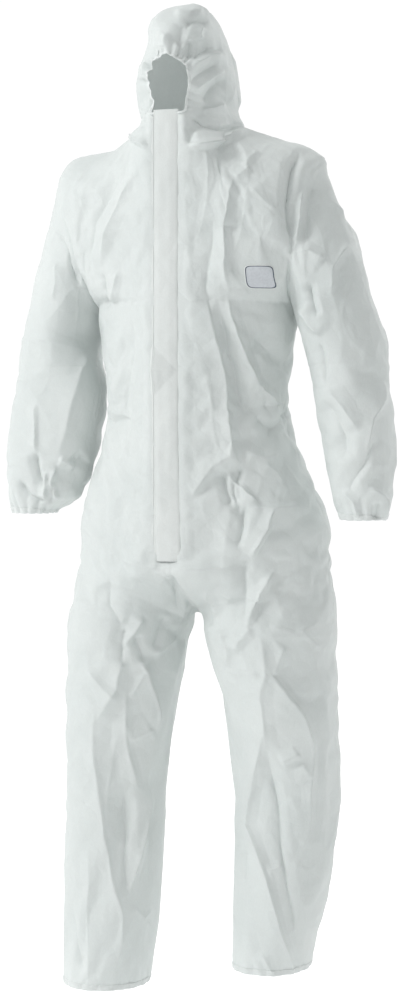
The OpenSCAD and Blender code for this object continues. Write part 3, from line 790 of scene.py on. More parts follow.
# On the back, in the plain (across, height) plane
BACK_FOLDS = [
    crease("body", 6, 16, (-0.17, -0.02), (-0.13, -0.08), (-0.11, -0.16)),
    crease("body", 6, 16, (0.17, -0.02), (0.135, -0.09), (0.115, -0.17)),
    ridge("body", 5, 18, (-0.05, -0.05), (-0.06, -0.15), (-0.045, -0.28)),
    ridge("body", 5, 18, (0.06, -0.04), (0.065, -0.16), (0.05, -0.27)),
    lap("body", 6, 16, (-0.15, -0.30), (-0.06, -0.345), (0.02, -0.335)),
    lap("body", 6, 16, (0.15, -0.32), (0.08, -0.355), (0.0, -0.350)),
    crease("body", 6, 12, (-0.12, -0.44), (-0.10, -0.50), (-0.11, -0.56)),
    crease("body", 6, 12, (0.11, -0.43), (0.10, -0.49), (0.12, -0.56)),
    ridge("body", 5, 10, (-0.05, -0.42), (-0.055, -0.47), (-0.045, -0.52)),
    ridge("body", 5, 10, (0.03, -0.42), (0.035, -0.47), (0.025, -0.53)),
    lap("body", 8, 16, (-0.20, -0.70), (-0.12, -0.735), (-0.03, -0.745)),
    lap("body", 8, 16, (0.20, -0.69), (0.12, -0.73), (0.03, -0.745)),
    ridge("body", 6, 12, (-0.03, -0.70), (-0.08, -0.78), (-0.14, -0.83)),
    ridge("body", 6, 12, (0.03, -0.70), (0.08, -0.79), (0.14, -0.84)),
    crease("body", 6, 12, (-0.20, -0.84), (-0.15, -0.88), (-0.10, -0.90)),
    crease("body", 6, 12, (0.21, -0.82), (0.16, -0.87), (0.10, -0.90)),
    ridge("body", 7, 20, (-0.16, -0.92), (-0.15, -1.02), (-0.17, -1.12), (-0.15, -1.24), (-0.15, -1.40)),
    ridge("body", 7, 20, (0.15, -0.92), (0.17, -1.02), (0.15, -1.14), (0.165, -1.25), (0.15, -1.36)),
    crease("body", 7, 13, (-0.22, -1.06), (-0.17, -1.10), (-0.10, -1.09)),
    crease("body", 7, 13, (0.22, -1.05), (0.17, -1.09), (0.10, -1.10)),
    lap("body", 6, 15, (-0.10, -1.12), (-0.13, -1.20), (-0.12, -1.33)),
    lap("body", 6, 15, (0.20, -1.12), (0.19, -1.22), (0.20, -1.32)),
    ridge("arm", 6, 14, (-0.27, -0.06), (-0.28, -0.16), (-0.26, -0.26)),
    ridge("arm", 6, 14, (0.27, -0.06), (0.28, -0.16), (0.26, -0.26)),
    crease("arm", 7, 12, (-0.33, -0.30), (-0.29, -0.34), (-0.25, -0.33)),
    crease("arm", 7, 12, (0.33, -0.30), (0.29, -0.34), (0.25, -0.33)),
    ridge("arm", 5, 14, (-0.30, -0.38), (-0.32, -0.46), (-0.31, -0.55)),
    ridge("arm", 5, 14, (0.30, -0.38), (0.32, -0.46), (0.31, -0.55)),
    ridge("body", 5, 12, (-0.05, 0.24), (-0.045, 0.18), (-0.06, 0.12)),
    ridge("body", 5, 12, (0.05, 0.23), (0.05, 0.17), (0.06, 0.12)),
    crease("body", 6, 12, (-0.08, 0.10), (0.0, 0.085), (0.08, 0.10)),
]


def fold_field(across, height, fold):
    """The move along the normal that one drawn fold gives every point."""
    path = np.array(fold.path)
    high, wide = FOLD_GAIN * fold.high / 1000, fold.wide / 1000
    reach = 5 * wide
    low, top = path.min(axis=0) - reach, path.max(axis=0) + reach
    near = np.nonzero((across > low[0]) & (across < top[0]) & (height > low[1]) & (height < top[1]))[0]
    s, z = across[near], height[near]
    best, side, along = np.full(len(s), 9.0), np.ones(len(s)), np.zeros(len(s))
    steps = np.linalg.norm(np.diff(path, axis=0), axis=1)
    walked = 0.0
    for a, b, step in zip(path[:-1], path[1:], steps):
        ds, dz = b - a
        t = np.clip(((s - a[0]) * ds + (z - a[1]) * dz) / step ** 2, 0, 1)
        qs, qz = s - a[0] - t * ds, z - a[1] - t * dz
        d = np.hypot(qs, qz)
        closer = d < best
        best[closer] = d[closer]
        side[closer] = np.sign(ds * qz - dz * qs)[closer]
        along[closer] = ((walked + t * step) / steps.sum())[closer]
        walked += step
    soft = np.sqrt(best ** 2 + 0.0008 ** 2) - 0.0008
    soft = soft * np.where(side > 0, 3.6, 1.0) if fold.kind == "lap" else soft * np.where(side > 0, 1.5, 0.75)
    flanks = 0.36 * np.exp(-soft / wide) + 0.46 * np.clip(1 - soft / (2 * wide), 0, 1)
    shape = flanks + 0.18 * np.exp(-soft * 5 / wide)
    if fold.kind == "crease":
        shape = -shape
    field = np.zeros(len(across))
    field[near] = high * shape * smooth_step(np.minimum(along, 1 - along) / 0.22)
    return field


def noise_at(points, scale, shift=0.0):
    k = np.asarray(scale) * np.ones(3)
    return np.array([noise.noise(Vector((x * k[0] + shift, y * k[1] + shift, z * k[2])))
                     for x, y, z in points])


def drawn_folds(points, normals, arm):
    turned = points[:, 0] * math.cos(FOLD_TURN) + points[:, 1] * math.sin(FOLD_TURN)
    facing = normals[:, 0] * math.sin(FOLD_TURN) - normals[:, 1] * math.cos(FOLD_TURN)
    wander = noise_at(points, 11) * 0.006, noise_at(points, 11, 5.0) * 0.006
    total = np.zeros(len(points))
    front, back = smooth_step((facing - 0.02) / 0.30), smooth_step((normals[:, 1] - 0.05) / 0.30)
    for folds, across, seen in ((LEG_FOLDS, turned, front), (TORSO_FOLDS, turned, front),
                                (SLEEVE_FOLDS, turned, front), (HOOD_FOLDS, turned, front),
                                (BACK_FOLDS, points[:, 0], back)):
        for fold in folds:
            mask = arm if fold.part == "arm" else 1 - arm
            total += fold_field(across + wander[0], points[:, 2] + wander[1], fold) * seen * mask
    return total


def crumple(points):
    """Small sharp creases where slow noise crosses zero, as in a thin stiff laminate that was packed flat."""
    total = np.zeros(len(points))
    layers = (((11, 11, 5), 0.0, 0.0024, 0.14), ((24, 24, 13), 3.0, 0.0010, 0.12),
              ((48, 48, 34), 7.0, 0.0004, 0.15))
    strength = smooth_step(noise_at(points, 7, 11.0) * 1.6 + 0.55)
    for scale, shift, high, sharp in layers:
        n = noise_at(points, scale, shift)
        total += high * (np.exp(-np.abs(n) / sharp) - 0.45) * strength
    return total


# ---------------------------------------------------------------- panels, seams and borders of the mesh

NO_SEAM = [{"upper_sleeve", "lower_sleeve"}, {"upper_leg", "lower_leg"}, {"lower_front", "upper_leg"},
           {"lower_back", "upper_leg"}]


def faces_of(obj):
    """Corner points and panel of every face, as flat arrays."""
    mesh = obj.data
    corner = np.empty(len(mesh.loops), dtype=np.int64)
    mesh.loops.foreach_get("vertex_index", corner)
    count = np.empty(len(mesh.polygons), dtype=np.int64)
    mesh.polygons.foreach_get("loop_total", count)
    panel = np.empty(len(mesh.polygons), dtype=np.int64)
    mesh.attributes["panel"].data.foreach_get("value", panel)
    return corner, count, panel


def nearest(points, found, reach):
    """Distance from every point to the nearest of the found ones, up to reach."""
    tree = kdtree.KDTree(len(found))
    for i in found:
        tree.insert(Vector(points[i]), int(i))
    tree.balance()
    return np.array([min(reach, tree.find(Vector(p))[2]) for p in points])


def panel_marks(obj, grids):
    """Seam points, and 1 for every point of a sleeve."""
    corner, count, panel = faces_of(obj)
    of_corner = np.repeat(panel, count)
    n = len(obj.data.vertices)
    low, high = np.full(n, 999), np.full(n, -1)
    np.minimum.at(low, corner, of_corner)
    np.maximum.at(high, corner, of_corner)
    names = [g.panel for g in grids]
    joined = [i for i in np.nonzero(low != high)[0] if {names[low[i]], names[high[i]]} not in NO_SEAM]
    sleeves = np.array([name.endswith("sleeve") for name in names])
    arm = (sleeves[low].astype(float) + sleeves[high]) / 2
    return joined, arm


def border_loops(obj):
    """Every open edge of the suit as an ordered ring of points, and the neighbour inward of each."""
    mesh = obj.data
    edge_of_loop = np.empty(len(mesh.loops), dtype=np.int64)
    mesh.loops.foreach_get("edge_index", edge_of_loop)
    ends = np.empty(len(mesh.edges) * 2, dtype=np.int64)
    mesh.edges.foreach_get("vertices", ends)
    ends = ends.reshape(-1, 2)
    open_edge = np.bincount(edge_of_loop, minlength=len(ends)) == 1
    around = {}
    for a, b in ends[open_edge]:
        around.setdefault(int(a), []).append(int(b))
        around.setdefault(int(b), []).append(int(a))
    on_border = np.zeros(len(mesh.vertices), dtype=bool)
    on_border[list(around)] = True
    inward = {}
    for a, b in ends[~open_edge]:
        if on_border[a] and not on_border[b]:
            inward[int(a)] = int(b)
        elif on_border[b] and not on_border[a]:
            inward[int(b)] = int(a)
    loops, left = [], set(around)
    while left:
        start = min(left)
        ring, here = [], start
        while here in left:
            left.discard(here)
            ring.append(here)
            ahead = [v for v in around[here] if v in left]
            here = ahead[0] if ahead else -1
        loops.append(ring)
    return loops, inward


def refine(suit, levels):
    mod = suit.modifiers.new("Subdivision", "SUBSURF")
    mod.levels = mod.render_levels = levels
    mod.boundary_smooth = "PRESERVE_CORNERS"
    done = bpy.data.meshes.new_from_object(suit.evaluated_get(bpy.context.evaluated_depsgraph_get()))
    suit.modifiers.clear()
    suit.data = done


def elastic_gathers(points, borders):
    """Pleats that run in from each elasticated edge and fade out over a few centimetres."""
    total = np.zeros(len(points))
    turned = np.arctan2(points[:, 1] + 0.04, np.abs(points[:, 0]) - 0.31)
    n = noise_at(points, 18, 2.0)
    cuff = smooth_step((CUFF_Z + 0.055 - points[:, 2]) / 0.045) * (np.abs(points[:, 0]) > 0.25)
    cuff *= (points[:, 2] > CUFF_Z - 0.02)
    total += cuff * 0.0032 * (np.abs(np.sin(turned * 8 + 3 * n)) - 0.5)
    for side, sign in SIDES.items():
        xs, ys = LEG_TABLES[side]
        mine = (points[:, 0] * sign > 0) & (points[:, 2] < HEM_Z[side] + 0.07)
        turn = np.arctan2(points[:, 1] - ys[0][1], points[:, 0] * sign - xs[0][1])
        fade = smooth_step((HEM_Z[side] + 0.050 - points[:, 2]) / 0.045)
        total += mine * fade * 0.0022 * (np.abs(np.sin(turn * 9 + 3 * n)) - 0.5)
    face = nearest(points, [i for i in borders if points[i, 2] > 0.10], 0.06)
    turn = np.arctan2(points[:, 2] - 0.16, points[:, 0] * 1.4)
    hood = (1 - smooth_step(face / 0.050)) * (points[:, 2] > 0.098) * (points[:, 1] < -0.05)
    total += hood * 0.0036 * (np.abs(np.sin(turn * 11 + 4 * n)) - 0.5)
    waist = np.exp(-(np.abs(points[:, 2] - WAIST_Z) / 0.022))
    waist *= (np.abs(points[:, 0]) < 0.19) * smooth_step((points[:, 1] + 0.125) / 0.05)
    across = np.where(points[:, 1] > -0.02, points[:, 0], points[:, 1])
    total += waist * 0.0036 * (np.abs(np.sin(across * 210 + 4 * n)) - 0.5)
    return total


def seam_relief(points, seams):
    """A stitched groove with its turned-in allowance showing as a low welt beside it, slightly puckered."""
    d = nearest(points, seams, 0.03)
    pucker = noise_at(points, 95, 1.0)
    groove = -0.0006 * np.exp(-(d / 0.0022) ** 2)
    welt = 0.0004 * np.exp(-((d - 0.0065) / 0.0035) ** 2)
    return groove + welt + 0.0016 * pucker * np.exp(-d / 0.010)


# Outward line of the worn suit against the even rings: (height, wearer's right side, wearer's left side)
SLEEVE_LINE = [(0.13, 0.0, 0.0), (0.06, 0.004, 0.004), (0.0, -0.019, -0.011), (-0.08, -0.011, -0.008),
               (-0.15, -0.015, 0.002), (-0.22, -0.008, 0.002), (-0.29, -0.005, 0.011), (-0.36, -0.005, 0.003),
               (-0.43, -0.006, 0.006), (-0.50, -0.006, 0.005), (-0.60, -0.006, 0.004)]
LEG_LINE = [(-0.45, 0.0, 0.0), (-0.52, 0.006, 0.004), (-0.64, 0.010, 0.011), (-0.71, 0.006, 0.016),
            (-0.785, 0.002, 0.008), (-0.86, -0.002, 0.010), (-0.93, -0.001, 0.014), (-1.07, -0.002, 0.015),
            (-1.21, -0.003, 0.010), (-1.28, -0.001, 0.004), (-1.35, -0.004, -0.007), (-1.45, -0.010, -0.008)]


def line_shift(x, z, line):
    heights, right, left = np.array(line)[::-1].T
    return np.where(x < 0, np.interp(z, heights, right), np.interp(z, heights, left))


def settle(points, arm):
    """The worn suit's outline: square shoulders, a bloused right cuff, full hips and knees, a higher left
    hem, and a hood that is narrower by the cheeks and peaked at the top."""
    out = points.copy()
    x, z = points[:, 0], points[:, 2]
    a = np.abs(x)
    start = mix(0.09, 0.245, smooth_step(-z / 0.15))
    reach = smooth_step((a - start) / 0.09)
    out[:, 0] += line_shift(x, z, SLEEVE_LINE) * reach * (z < 0.10) * (z > -0.62) * np.where(z < -0.25, arm, 1)
    bag = smooth_step((x + 0.345) / 0.10) * smooth_step((-0.27 - z) / 0.14) * smooth_step((z + 0.597) / 0.03)
    out[:, 0] += 0.042 * bag * arm * (x < 0)
    out[:, 0] += line_shift(x, z, LEG_LINE) * smooth_step((a - 0.06) / 0.08) * (1 - arm) * (z < -0.45)
    slim = smooth_step((0.17 - x) / 0.10) * smooth_step((-0.82 - z) / 0.10) * smooth_step((z + 1.44) / 0.12)
    out[:, 0] += 0.011 * slim * (x > 0.01)
    hood = smooth_step((a - 0.035) / 0.04) * smooth_step((z - 0.085) / 0.04) * smooth_step((0.295 - z) / 0.05)
    out[:, 0] -= hood * np.where(x > 0, 0.013, 0.012 * smooth_step((0.21 - z) / 0.06))
    out[:, 2] += 0.010 * smooth_step((-1.25 - z) / 0.12) * (x > 0)
    out[:, 0] -= 0.010 * smooth_step((z - 0.235) / 0.03) * smooth_step((0.01 - x) / 0.03)
    out[:, 2] += 0.005 * smooth_step((z - 0.262) / 0.02) * np.exp(-((x - 0.024) / 0.016) ** 2)
    top = smooth_step((z + 0.06) / 0.08) * (z < 0.12)
    out[:, 2] += top * (0.013 * np.exp(-((x + 0.235) / 0.035) ** 2)
                        - 0.009 * np.exp(-((x + 0.145) / 0.035) ** 2)
                        + 0.006 * np.exp(-((x - 0.20) / 0.04) ** 2))
    return out


def shape_suit(suit, grids):
    """Folds, crumples, gathers and seams on the refined mesh, along its normals."""
    seams, arm = panel_marks(suit, grids)
    move_points(suit, flush_flap(settle(points_of(suit), arm)))
    points, normals = points_of(suit), normals_of(suit)
    loops, inward = border_loops(suit)
    borders = [i for ring in loops for i in ring]
    patch = smooth_step((0.046 - np.abs(points[:, 0] - PATCH_X)) / 0.02)
    patch *= smooth_step((0.034 - np.abs(points[:, 2] - PATCH_Z)) / 0.015) * (points[:, 1] < MID_Y)
    big = drawn_folds(points, normals, arm) + crumple(points)
    small = elastic_gathers(points, borders) + seam_relief(points, seams)
    free = 1 - flap_cover(points)
    move = (big * (1 - 0.75 * patch) + small) * free
    edge = nearest(points, borders, 0.03)
    at_zip = (np.abs(points[:, 0]) < 0.03) & (points[:, 2] < 0.10)
    move = np.where(at_zip, move * smooth_step(edge / 0.02), move)
    done = points + normals * np.clip(move, -0.018, 0.015)[:, None]
    across = np.abs(done[:, 0])
    out = -0.1696 - 0.0026 * smooth_step((across - 0.0165) / 0.003)
    deep = (-0.1650 - 0.0030 * smooth_step((across - 0.011) / 0.005)
            - 0.0034 * smooth_step((across - 0.0165) / 0.003))
    held = np.clip(done[:, 1], out, deep)
    done[:, 1] = mix(done[:, 1], held, flap_cover(points))
    move_points(suit, done)
    return loops, inward


def cut_pieces(suit, grids):
    """The suit cut along its seams: one object for each panel, with the whole suit's own normals."""
    corner, count, panel = faces_of(suit)
    points, normals = points_of(suit), normals_of(suit)
    starts = np.concatenate([[0], np.cumsum(count)[:-1]])
    pieces = {}
    for number, grid in enumerate(grids):
        name = grid.panel + ("_" + grid.side if grid.side else "")
        mine = np.nonzero(panel == number)[0]
        faces = [corner[starts[f]:starts[f] + count[f]] for f in mine]
        used, flat = np.unique(np.concatenate(faces), return_inverse=True)
        ends = np.cumsum(count[mine])[:-1]
        mesh = bpy.data.meshes.new(name + "_cloth")
        mesh.from_pydata(points[used].tolist(), [], [f.tolist() for f in np.split(flat, ends)])
        mesh.update()
        mesh.polygons.foreach_set("use_smooth", np.ones(len(mine), dtype=bool))
        mesh.normals_split_custom_set_from_vertices(normals[used].tolist())
        rest = mesh.attributes.new("rest", "FLOAT_VECTOR", "POINT")
        rest.data.foreach_set("vector", points[used].astype(np.float32).ravel())
        obj = bpy.data.objects.new(name + "_cloth", mesh)
        bpy.context.scene.collection.objects.link(obj)
        pieces[name] = obj
    return pieces


def made(name, points, faces):
    """A smooth object from points and faces, which keeps its places at rest for its material."""
    mesh = bpy.data.meshes.new(name)
    mesh.from_pydata([tuple(p) for p in points], [], faces)
    mesh.update()
    mesh.polygons.foreach_set("use_smooth", np.ones(len(mesh.polygons), dtype=bool))
    rest = mesh.attributes.new("rest", "FLOAT_VECTOR", "POINT")
    rest.data.foreach_set("vector", np.array(points, dtype=np.float32).ravel())
    obj = bpy.data.objects.new(name, mesh)
    bpy.context.scene.collection.objects.link(obj)
    return obj


def wrap(name, rows, closed):
    """Rows of closed profiles joined into a tube; closed joins the last row to the first."""
    n, m = len(rows), len(rows[0])
    faces = []
    for j in range(n if closed else n - 1):
        k = (j + 1) % n
        for i in range(m):
            a, b = j * m + i, j * m + (i + 1) % m
            faces.append((a, k * m + i, k * m + (i + 1) % m, b))
    if not closed:
        faces += [tuple(range(m)), tuple(range((n - 1) * m, n * m))[::-1]]
    return made(name, [p for row in rows for p in row], faces)


def unit(v):
    return v / max(1e-9, float(np.linalg.norm(v)))


def band(name, ring, closed, suit_points, suit_normals, inward, wide, thick):
    """An elastic hem over an open edge: a soft casing with rows of elastic thread showing as ribs."""
    rows = []
    for k, i in enumerate(ring):
        p, n = suit_points[i], suit_normals[i]
        up = unit(suit_points[inward.get(i, inward.get(ring[k - 1], i))] - p)
        up = unit(up - n * float(up @ n))
        full = 1 + 0.25 * math.sin(k * 1.1) * math.sin(k * 0.37)
        shape = [(1.0, 0.2), (0.86, 1.0), (0.70, 0.75), (0.55, 1.05), (0.40, 0.75), (0.24, 1.1), (0.08, 0.95),
                 (-0.04, 0.45), (-0.04, -0.45), (0.08, -0.95), (0.5, -1.0), (0.86, -0.9), (1.0, -0.2)]
        rows.append([p + up * (u * wide) + n * (t * thick * full) for u, t in shape])
    return wrap(name, rows, closed)


def smooth_ring(ring, points, closed, times=2):
    """The ring's own points, evened out a little so that its casing runs in a clean line."""
    done = points.copy()
    for _ in range(times):
        at = done[ring]
        mean = (np.roll(at, 1, axis=0) + np.roll(at, -1, axis=0)) / 2
        if not closed:
            mean[0], mean[-1] = at[0], at[-1]
        done[ring] = (at + mean) / 2
    return done


# ---------------------------------------------------------------- flap, zip, patch and label

FLAP_LEFT, FLAP_RIGHT = FLAP[0][0], FLAP[1][0]
FLAP_LOW, FLAP_TOP = FLAP[0][2], FLAP[1][2]
FLAP_Y = (FLAP[0][1] + FLAP[1][1]) / 2
FLAP_HALF = (FLAP[1][1] - FLAP[0][1]) / 2
FACET_Z, FACET_H, FACET_W, FACET_RISE = -0.341, 0.043, 0.045, 0.0095


def flap_out(x, z):
    """How far the flap stands out from its flat plate: slow waves, a lifted edge and one pressed facet."""
    t = (x - FLAP_LEFT) / (FLAP_RIGHT - FLAP_LEFT)
    wave = 0.0013 * (0.5 + 0.5 * noise.noise(Vector((x * 14, 4.0, z * 9))))
    lift = 0.0026 * ease(t) * (0.5 + 0.7 * noise.noise(Vector((1.0, 9.0, z * 13))))
    bend = 0.0012 * noise.noise(Vector((x * 50, 2.0, z * 38)))
    facet = 1 - abs(z - FACET_Z) / FACET_H - (x - FLAP_LEFT) / FACET_W
    line = 0.0008 * math.exp(-abs(z + 0.4265) / 0.003) * ease(t * 2)
    rest = (0.0022 * ease((t - 0.62) / 0.38) + 0.0014 * ease((t - 0.92) / 0.08)
            + 0.0016 * ease((0.25 - t) / 0.25))
    rest += 0.0032 * ease((FLAP_LOW + 0.03 - z) / 0.03)
    return max(0.0, wave + lift * 0.5 + bend + line + FACET_RISE * min(1.0, max(0.0, facet))) - rest


def flap_x(x, z):
    t = (x - FLAP_LEFT) / (FLAP_RIGHT - FLAP_LEFT)
    low = ease((-0.40 - z) / 0.2)
    cut = 0.010 * (1 - arch(min(1.0, (FLAP_LOW + 0.014 - z) / 0.014))) if z < FLAP_LOW + 0.014 else 0.0
    return x + t * (0.0020 * noise.noise(Vector((3.0, 0.0, z * 7))) + 0.003 * low - 0.001 - cut) * (z < 0.09)


def make_flap():
    near = [0.0, 0.5, 1.5, 2.8, 3.5, 4.2, 5.4, 8.0]
    wide = (FLAP_RIGHT - FLAP_LEFT) * 1000
    across = near + [11, 14, 17, 20, 23, 26, 29, 32, 35] + [wide - v for v in reversed(near)]
    tall = 520
    front, back = [], []
    for j in range(tall + 1):
        z = mix(FLAP_TOP, FLAP_LOW, j / tall)
        top = min(z - FLAP_LOW, FLAP_TOP - z)
        f, b = [], []
        for mm in across:
            x = FLAP_LEFT + mm / 1000
            side = min(mm, wide - mm)
            thick = FLAP_HALF * (0.35 if side < 0.3 or top < 0.0005 else 1)
            stitched = abs(side - 3.5) < 0.4 or abs(top - 0.0035) < 0.0008
            groove = 0.0003 * (0.7 + 0.3 * math.cos(z * 2 * math.pi / 0.0032)) if stitched else 0.0
            y = FLAP_Y - flap_out(x, z)
            f.append((flap_x(x, z), y - thick + groove, z))
            b.append((flap_x(x, z), y + thick, z))
        front.append(f)
        back.append(b[::-1])
    return wrap("storm_flap_cloth", [f + b for f, b in zip(front, back)], False)


def make_flap_fold():
    """The flap's root: the front cloth is drawn up in a low turned fold to the flap's left edge."""
    rows = []
    for j in range(401):
        z = mix(FLAP_TOP - 0.010, FLAP_LOW, j / 400)
        tip = FLAP_Y - flap_out(FLAP_LEFT, z) + FLAP_HALF * 0.6
        root = -0.1700 + 0.002 * ease((FLAP_LOW + 0.03 - z) / 0.03)
        pucker = 0.0006 * noise.noise(Vector((0.0, 7.0, z * 160)))
        outer = [(FLAP_LEFT - 0.0080, root + 0.001), (FLAP_LEFT - 0.0065, mix(root, tip, 0.30) + pucker),
                 (FLAP_LEFT - 0.0045, mix(root, tip, 0.60) + pucker),
                 (FLAP_LEFT - 0.0020, mix(root, tip, 0.94)),
                 (FLAP_LEFT - 0.0004, tip), (FLAP_LEFT - 0.0002, tip + 0.0011)]
        inner = [(x, y + 0.0009) for x, y in reversed(outer[:-1])]
        rows.append([(x, y, z) for x, y in outer + inner])
    return wrap("flap_seam_fold_cloth", rows, False)


def make_adhesive():
    low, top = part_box("flap_adhesive_strip")
    rows = []
    for j in range(241):
        z = mix(top[2], low[2], j / 240)
        outer = [mix(low[0], top[0], i / 6) for i in range(7)]
        base = [FLAP_Y + FLAP_HALF - flap_out(x, z) for x in outer]
        front = [(flap_x(x, z), y + 0.00002, z) for x, y in zip(outer, base)]
        back = [(flap_x(x, z), y + 0.0003 + 0.00008 * math.sin(z * 900 + x * 700), z)
                for x, y in zip(outer, base)]
        rows.append(front + back[::-1])
    return wrap("flap_adhesive_strip_film", rows, False)


def make_coil(side):
    """The zip's nylon coil, a flattened spring of monofilament along the tape's edge."""
    low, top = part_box("zip_coil_" + side)
    cx, cy = (low[0] + top[0]) / 2, (low[1] + top[1]) / 2
    wire, pitch, steps, ring = 0.0003, 0.0019, 8, 5
    rx, ry = (top[0] - low[0]) / 2 - wire, (top[1] - low[1]) / 2 - wire
    turns = int((top[2] - low[2]) / pitch)
    rows = []
    for k in range(turns * steps):
        t = 2 * math.pi * k / steps
        out = Vector((math.cos(t) * SIDES[side], math.sin(t), 0))
        centre = Vector((cx + rx * out.x, cy + ry * out.y, top[2] - 0.0003 - pitch * k / steps))
        rows.append([centre + (out * math.cos(a) + Vector((0, 0, math.sin(a)))) * wire
                     for a in [2 * math.pi * i / ring for i in range(ring)]])
    return wrap("zip_coil_%s_teeth" % side, rows, False)


def over_cloth(name, cloth, box, out, wide=60, tall=30, corner=6.0, thick=0.0004):
    """A thin rounded piece lying on a cloth panel, which follows the panel's shape."""
    points, normals = points_of(cloth), normals_of(cloth)
    facing = normals[:, 1] * (1 if box[0][1] > MID_Y else -1) > 0.1
    points, normals = points[facing], normals[facing]
    tree = kdtree.KDTree(len(points))
    for i, p in enumerate(points):
        tree.insert(Vector((p[0], 0, p[2])), i)
    tree.balance()
    front, back, marks = [], [], []
    for j in range(tall + 1):
        for i in range(wide + 1):
            u, v = 2 * i / wide - 1, 2 * j / tall - 1
            most = max(abs(u), abs(v))
            k = most / (abs(u) ** corner + abs(v) ** corner) ** (1 / corner) if most > 0 else 1
            x = mix(box[0][0], box[1][0], (u * k + 1) / 2)
            z = mix(box[0][2], box[1][2], (v * k + 1) / 2)
            found = tree.find_n(Vector((x, 0, z)), 8)
            share = np.array([1 / (d + 0.0015) for _, _, d in found])
            share /= share.sum()
            y = float(sum(s * points[f[1]][1] for s, f in zip(share, found)))
            n = unit(sum(s * normals[f[1]] for s, f in zip(share, found)))
            front.append(np.array((x, y, z)) + n * (out + (thick if most < 0.985 else 0)))
            back.append(np.array((x, y, z)) + n * (out - thick))
            marks.append(most)
    n = (wide + 1) * (tall + 1)
    faces = []
    flip = box[0][1] > MID_Y
    for j in range(tall):
        for i in range(wide):
            a = j * (wide + 1) + i
            quad = (a, a + 1, a + wide + 2, a + wide + 1)
            faces += [quad[::-1] if flip else quad, tuple(q + n for q in (quad if flip else quad[::-1]))]
    rim = [j * (wide + 1) for j in range(tall + 1)] + [tall * (wide + 1) + i for i in range(1, wide + 1)]
    rim += [j * (wide + 1) + wide for j in range(tall - 1, -1, -1)] + list(range(wide - 1, 0, -1))
    faces += [(a, b, b + n, a + n) for a, b in zip(rim, rim[1:] + rim[:1])]
    obj = made(name, front + back, faces)
    mark = obj.data.attributes.new("mark", "FLOAT", "POINT")
    mark.data.foreach_set("value", np.array(marks + marks, dtype=np.float32))
    return obj


def make_label():
    """The blank size label: a satin ribbon sewn in at the nape, hanging with a slight curl."""
    low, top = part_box("size_label")
    rows = []
    for j in range(25):
        t = j / 24
        z = mix(top[2], low[2], t)
        y = low[1] - 0.0035 * math.sin(t * 2.4) - 0.0015 * t * t
        outer = [(mix(low[0], top[0], i / 16), y - 0.0006 * math.cos(i / 16 * 5 + t * 2), z)
                 for i in range(17)]
        rows.append(outer + [(x, yy + 0.0004, zz) for x, yy, zz in reversed(outer)])
    return wrap("size_label_ribbon", rows, False)


def make_waist(points, normals):
    """The elastic in its casing on the inside of the waist, round the back from side to side."""
    level = np.nonzero((np.abs(points[:, 2] - WAIST_Z) < 0.004) & (np.abs(points[:, 0]) < 0.195))[0]
    turn = np.degrees(np.arctan2(points[level, 0], points[level, 1] - MID_Y))
    ring = []
    for a in np.linspace(-74, 74, 130):
        i = level[np.argmin(np.abs(turn - a))]
        ring.append(points[i] - normals[i] * 0.0060)
    ring = np.array(ring)
    for _ in range(3):
        ring[1:-1] = (ring[:-2] + 2 * ring[1:-1] + ring[2:]) / 4
    rows = []
    for k, p in enumerate(ring):
        ahead = ring[min(k + 1, len(ring) - 1)] - ring[max(k - 1, 0)]
        n = unit(np.cross(unit(ahead), (0, 0, 1)))
        wave = 0.0006 * math.sin(k * 1.7)
        half, thick = 0.006, 0.0008
        shape = [(-1, 0), (-0.9, 1), (-0.45, 0.7), (0, 1), (0.45, 0.7), (0.9, 1), (1, 0), (0.9, -1),
                 (-0.9, -1)]
        rows.append([(p[0] + n[0] * (t * thick + wave), p[1] + n[1] * (t * thick + wave), WAIST_Z + u * half)
                     for u, t in shape])
    return wrap("waist_elastic_band", rows, False)


# ---------------------------------------------------------------- materials


def tree_of(name):
    mat = bpy.data.materials.new(name)
    mat.use_nodes = True
    return mat, mat.node_tree, mat.node_tree.nodes["Principled BSDF"]


def add(tree, kind, **sockets):
    node = tree.nodes.new(kind)
    for key, value in sockets.items():
        node.inputs[key.replace("_", " ")].default_value = value
    return node


def place_of(tree, stretch=(1, 1, 1), kept=True):
    """Texture places: the piece's own places at rest, or a CAD node's places in the frame."""
    if kept:
        source = tree.nodes.new("ShaderNodeAttribute")
        source.attribute_name = "rest"
        out = source.outputs["Vector"]
    else:
        out = tree.nodes.new("ShaderNodeTexCoord").outputs["Object"]
    mapping = add(tree, "ShaderNodeMapping", Scale=stretch)
    tree.links.new(out, mapping.inputs["Vector"])
    return mapping.outputs["Vector"]


def noise_node(tree, place, scale, detail=3.0, kind="FBM", distortion=0.0):
    node = tree.nodes.new("ShaderNodeTexNoise")
    node.noise_type = kind
    node.inputs["Scale"].default_value = scale
    node.inputs["Detail"].default_value = detail
    node.inputs["Distortion"].default_value = distortion
    tree.links.new(place, node.inputs["Vector"])
    return node.outputs["Fac"]


def ramp(tree, factor, stops):
    node = tree.nodes.new("ShaderNodeValToRGB")
    marks = node.color_ramp.elements
    marks[0].position, marks[0].color = stops[0][0], (*stops[0][1], 1)
    marks[1].position, marks[1].color = stops[-1][0], (*stops[-1][1], 1)
    for place, colour in stops[1:-1]:
        marks.new(place).color = (*colour, 1)
    tree.links.new(factor, node.inputs["Fac"])
    return node.outputs["Color"]


def bump(tree, height, distance, strength, under=None):
    node = add(tree, "ShaderNodeBump", Distance=distance, Strength=strength)
    tree.links.new(height, node.inputs["Height"])
    if under is not None:
        tree.links.new(under, node.inputs["Normal"])
    return node.outputs["Normal"]


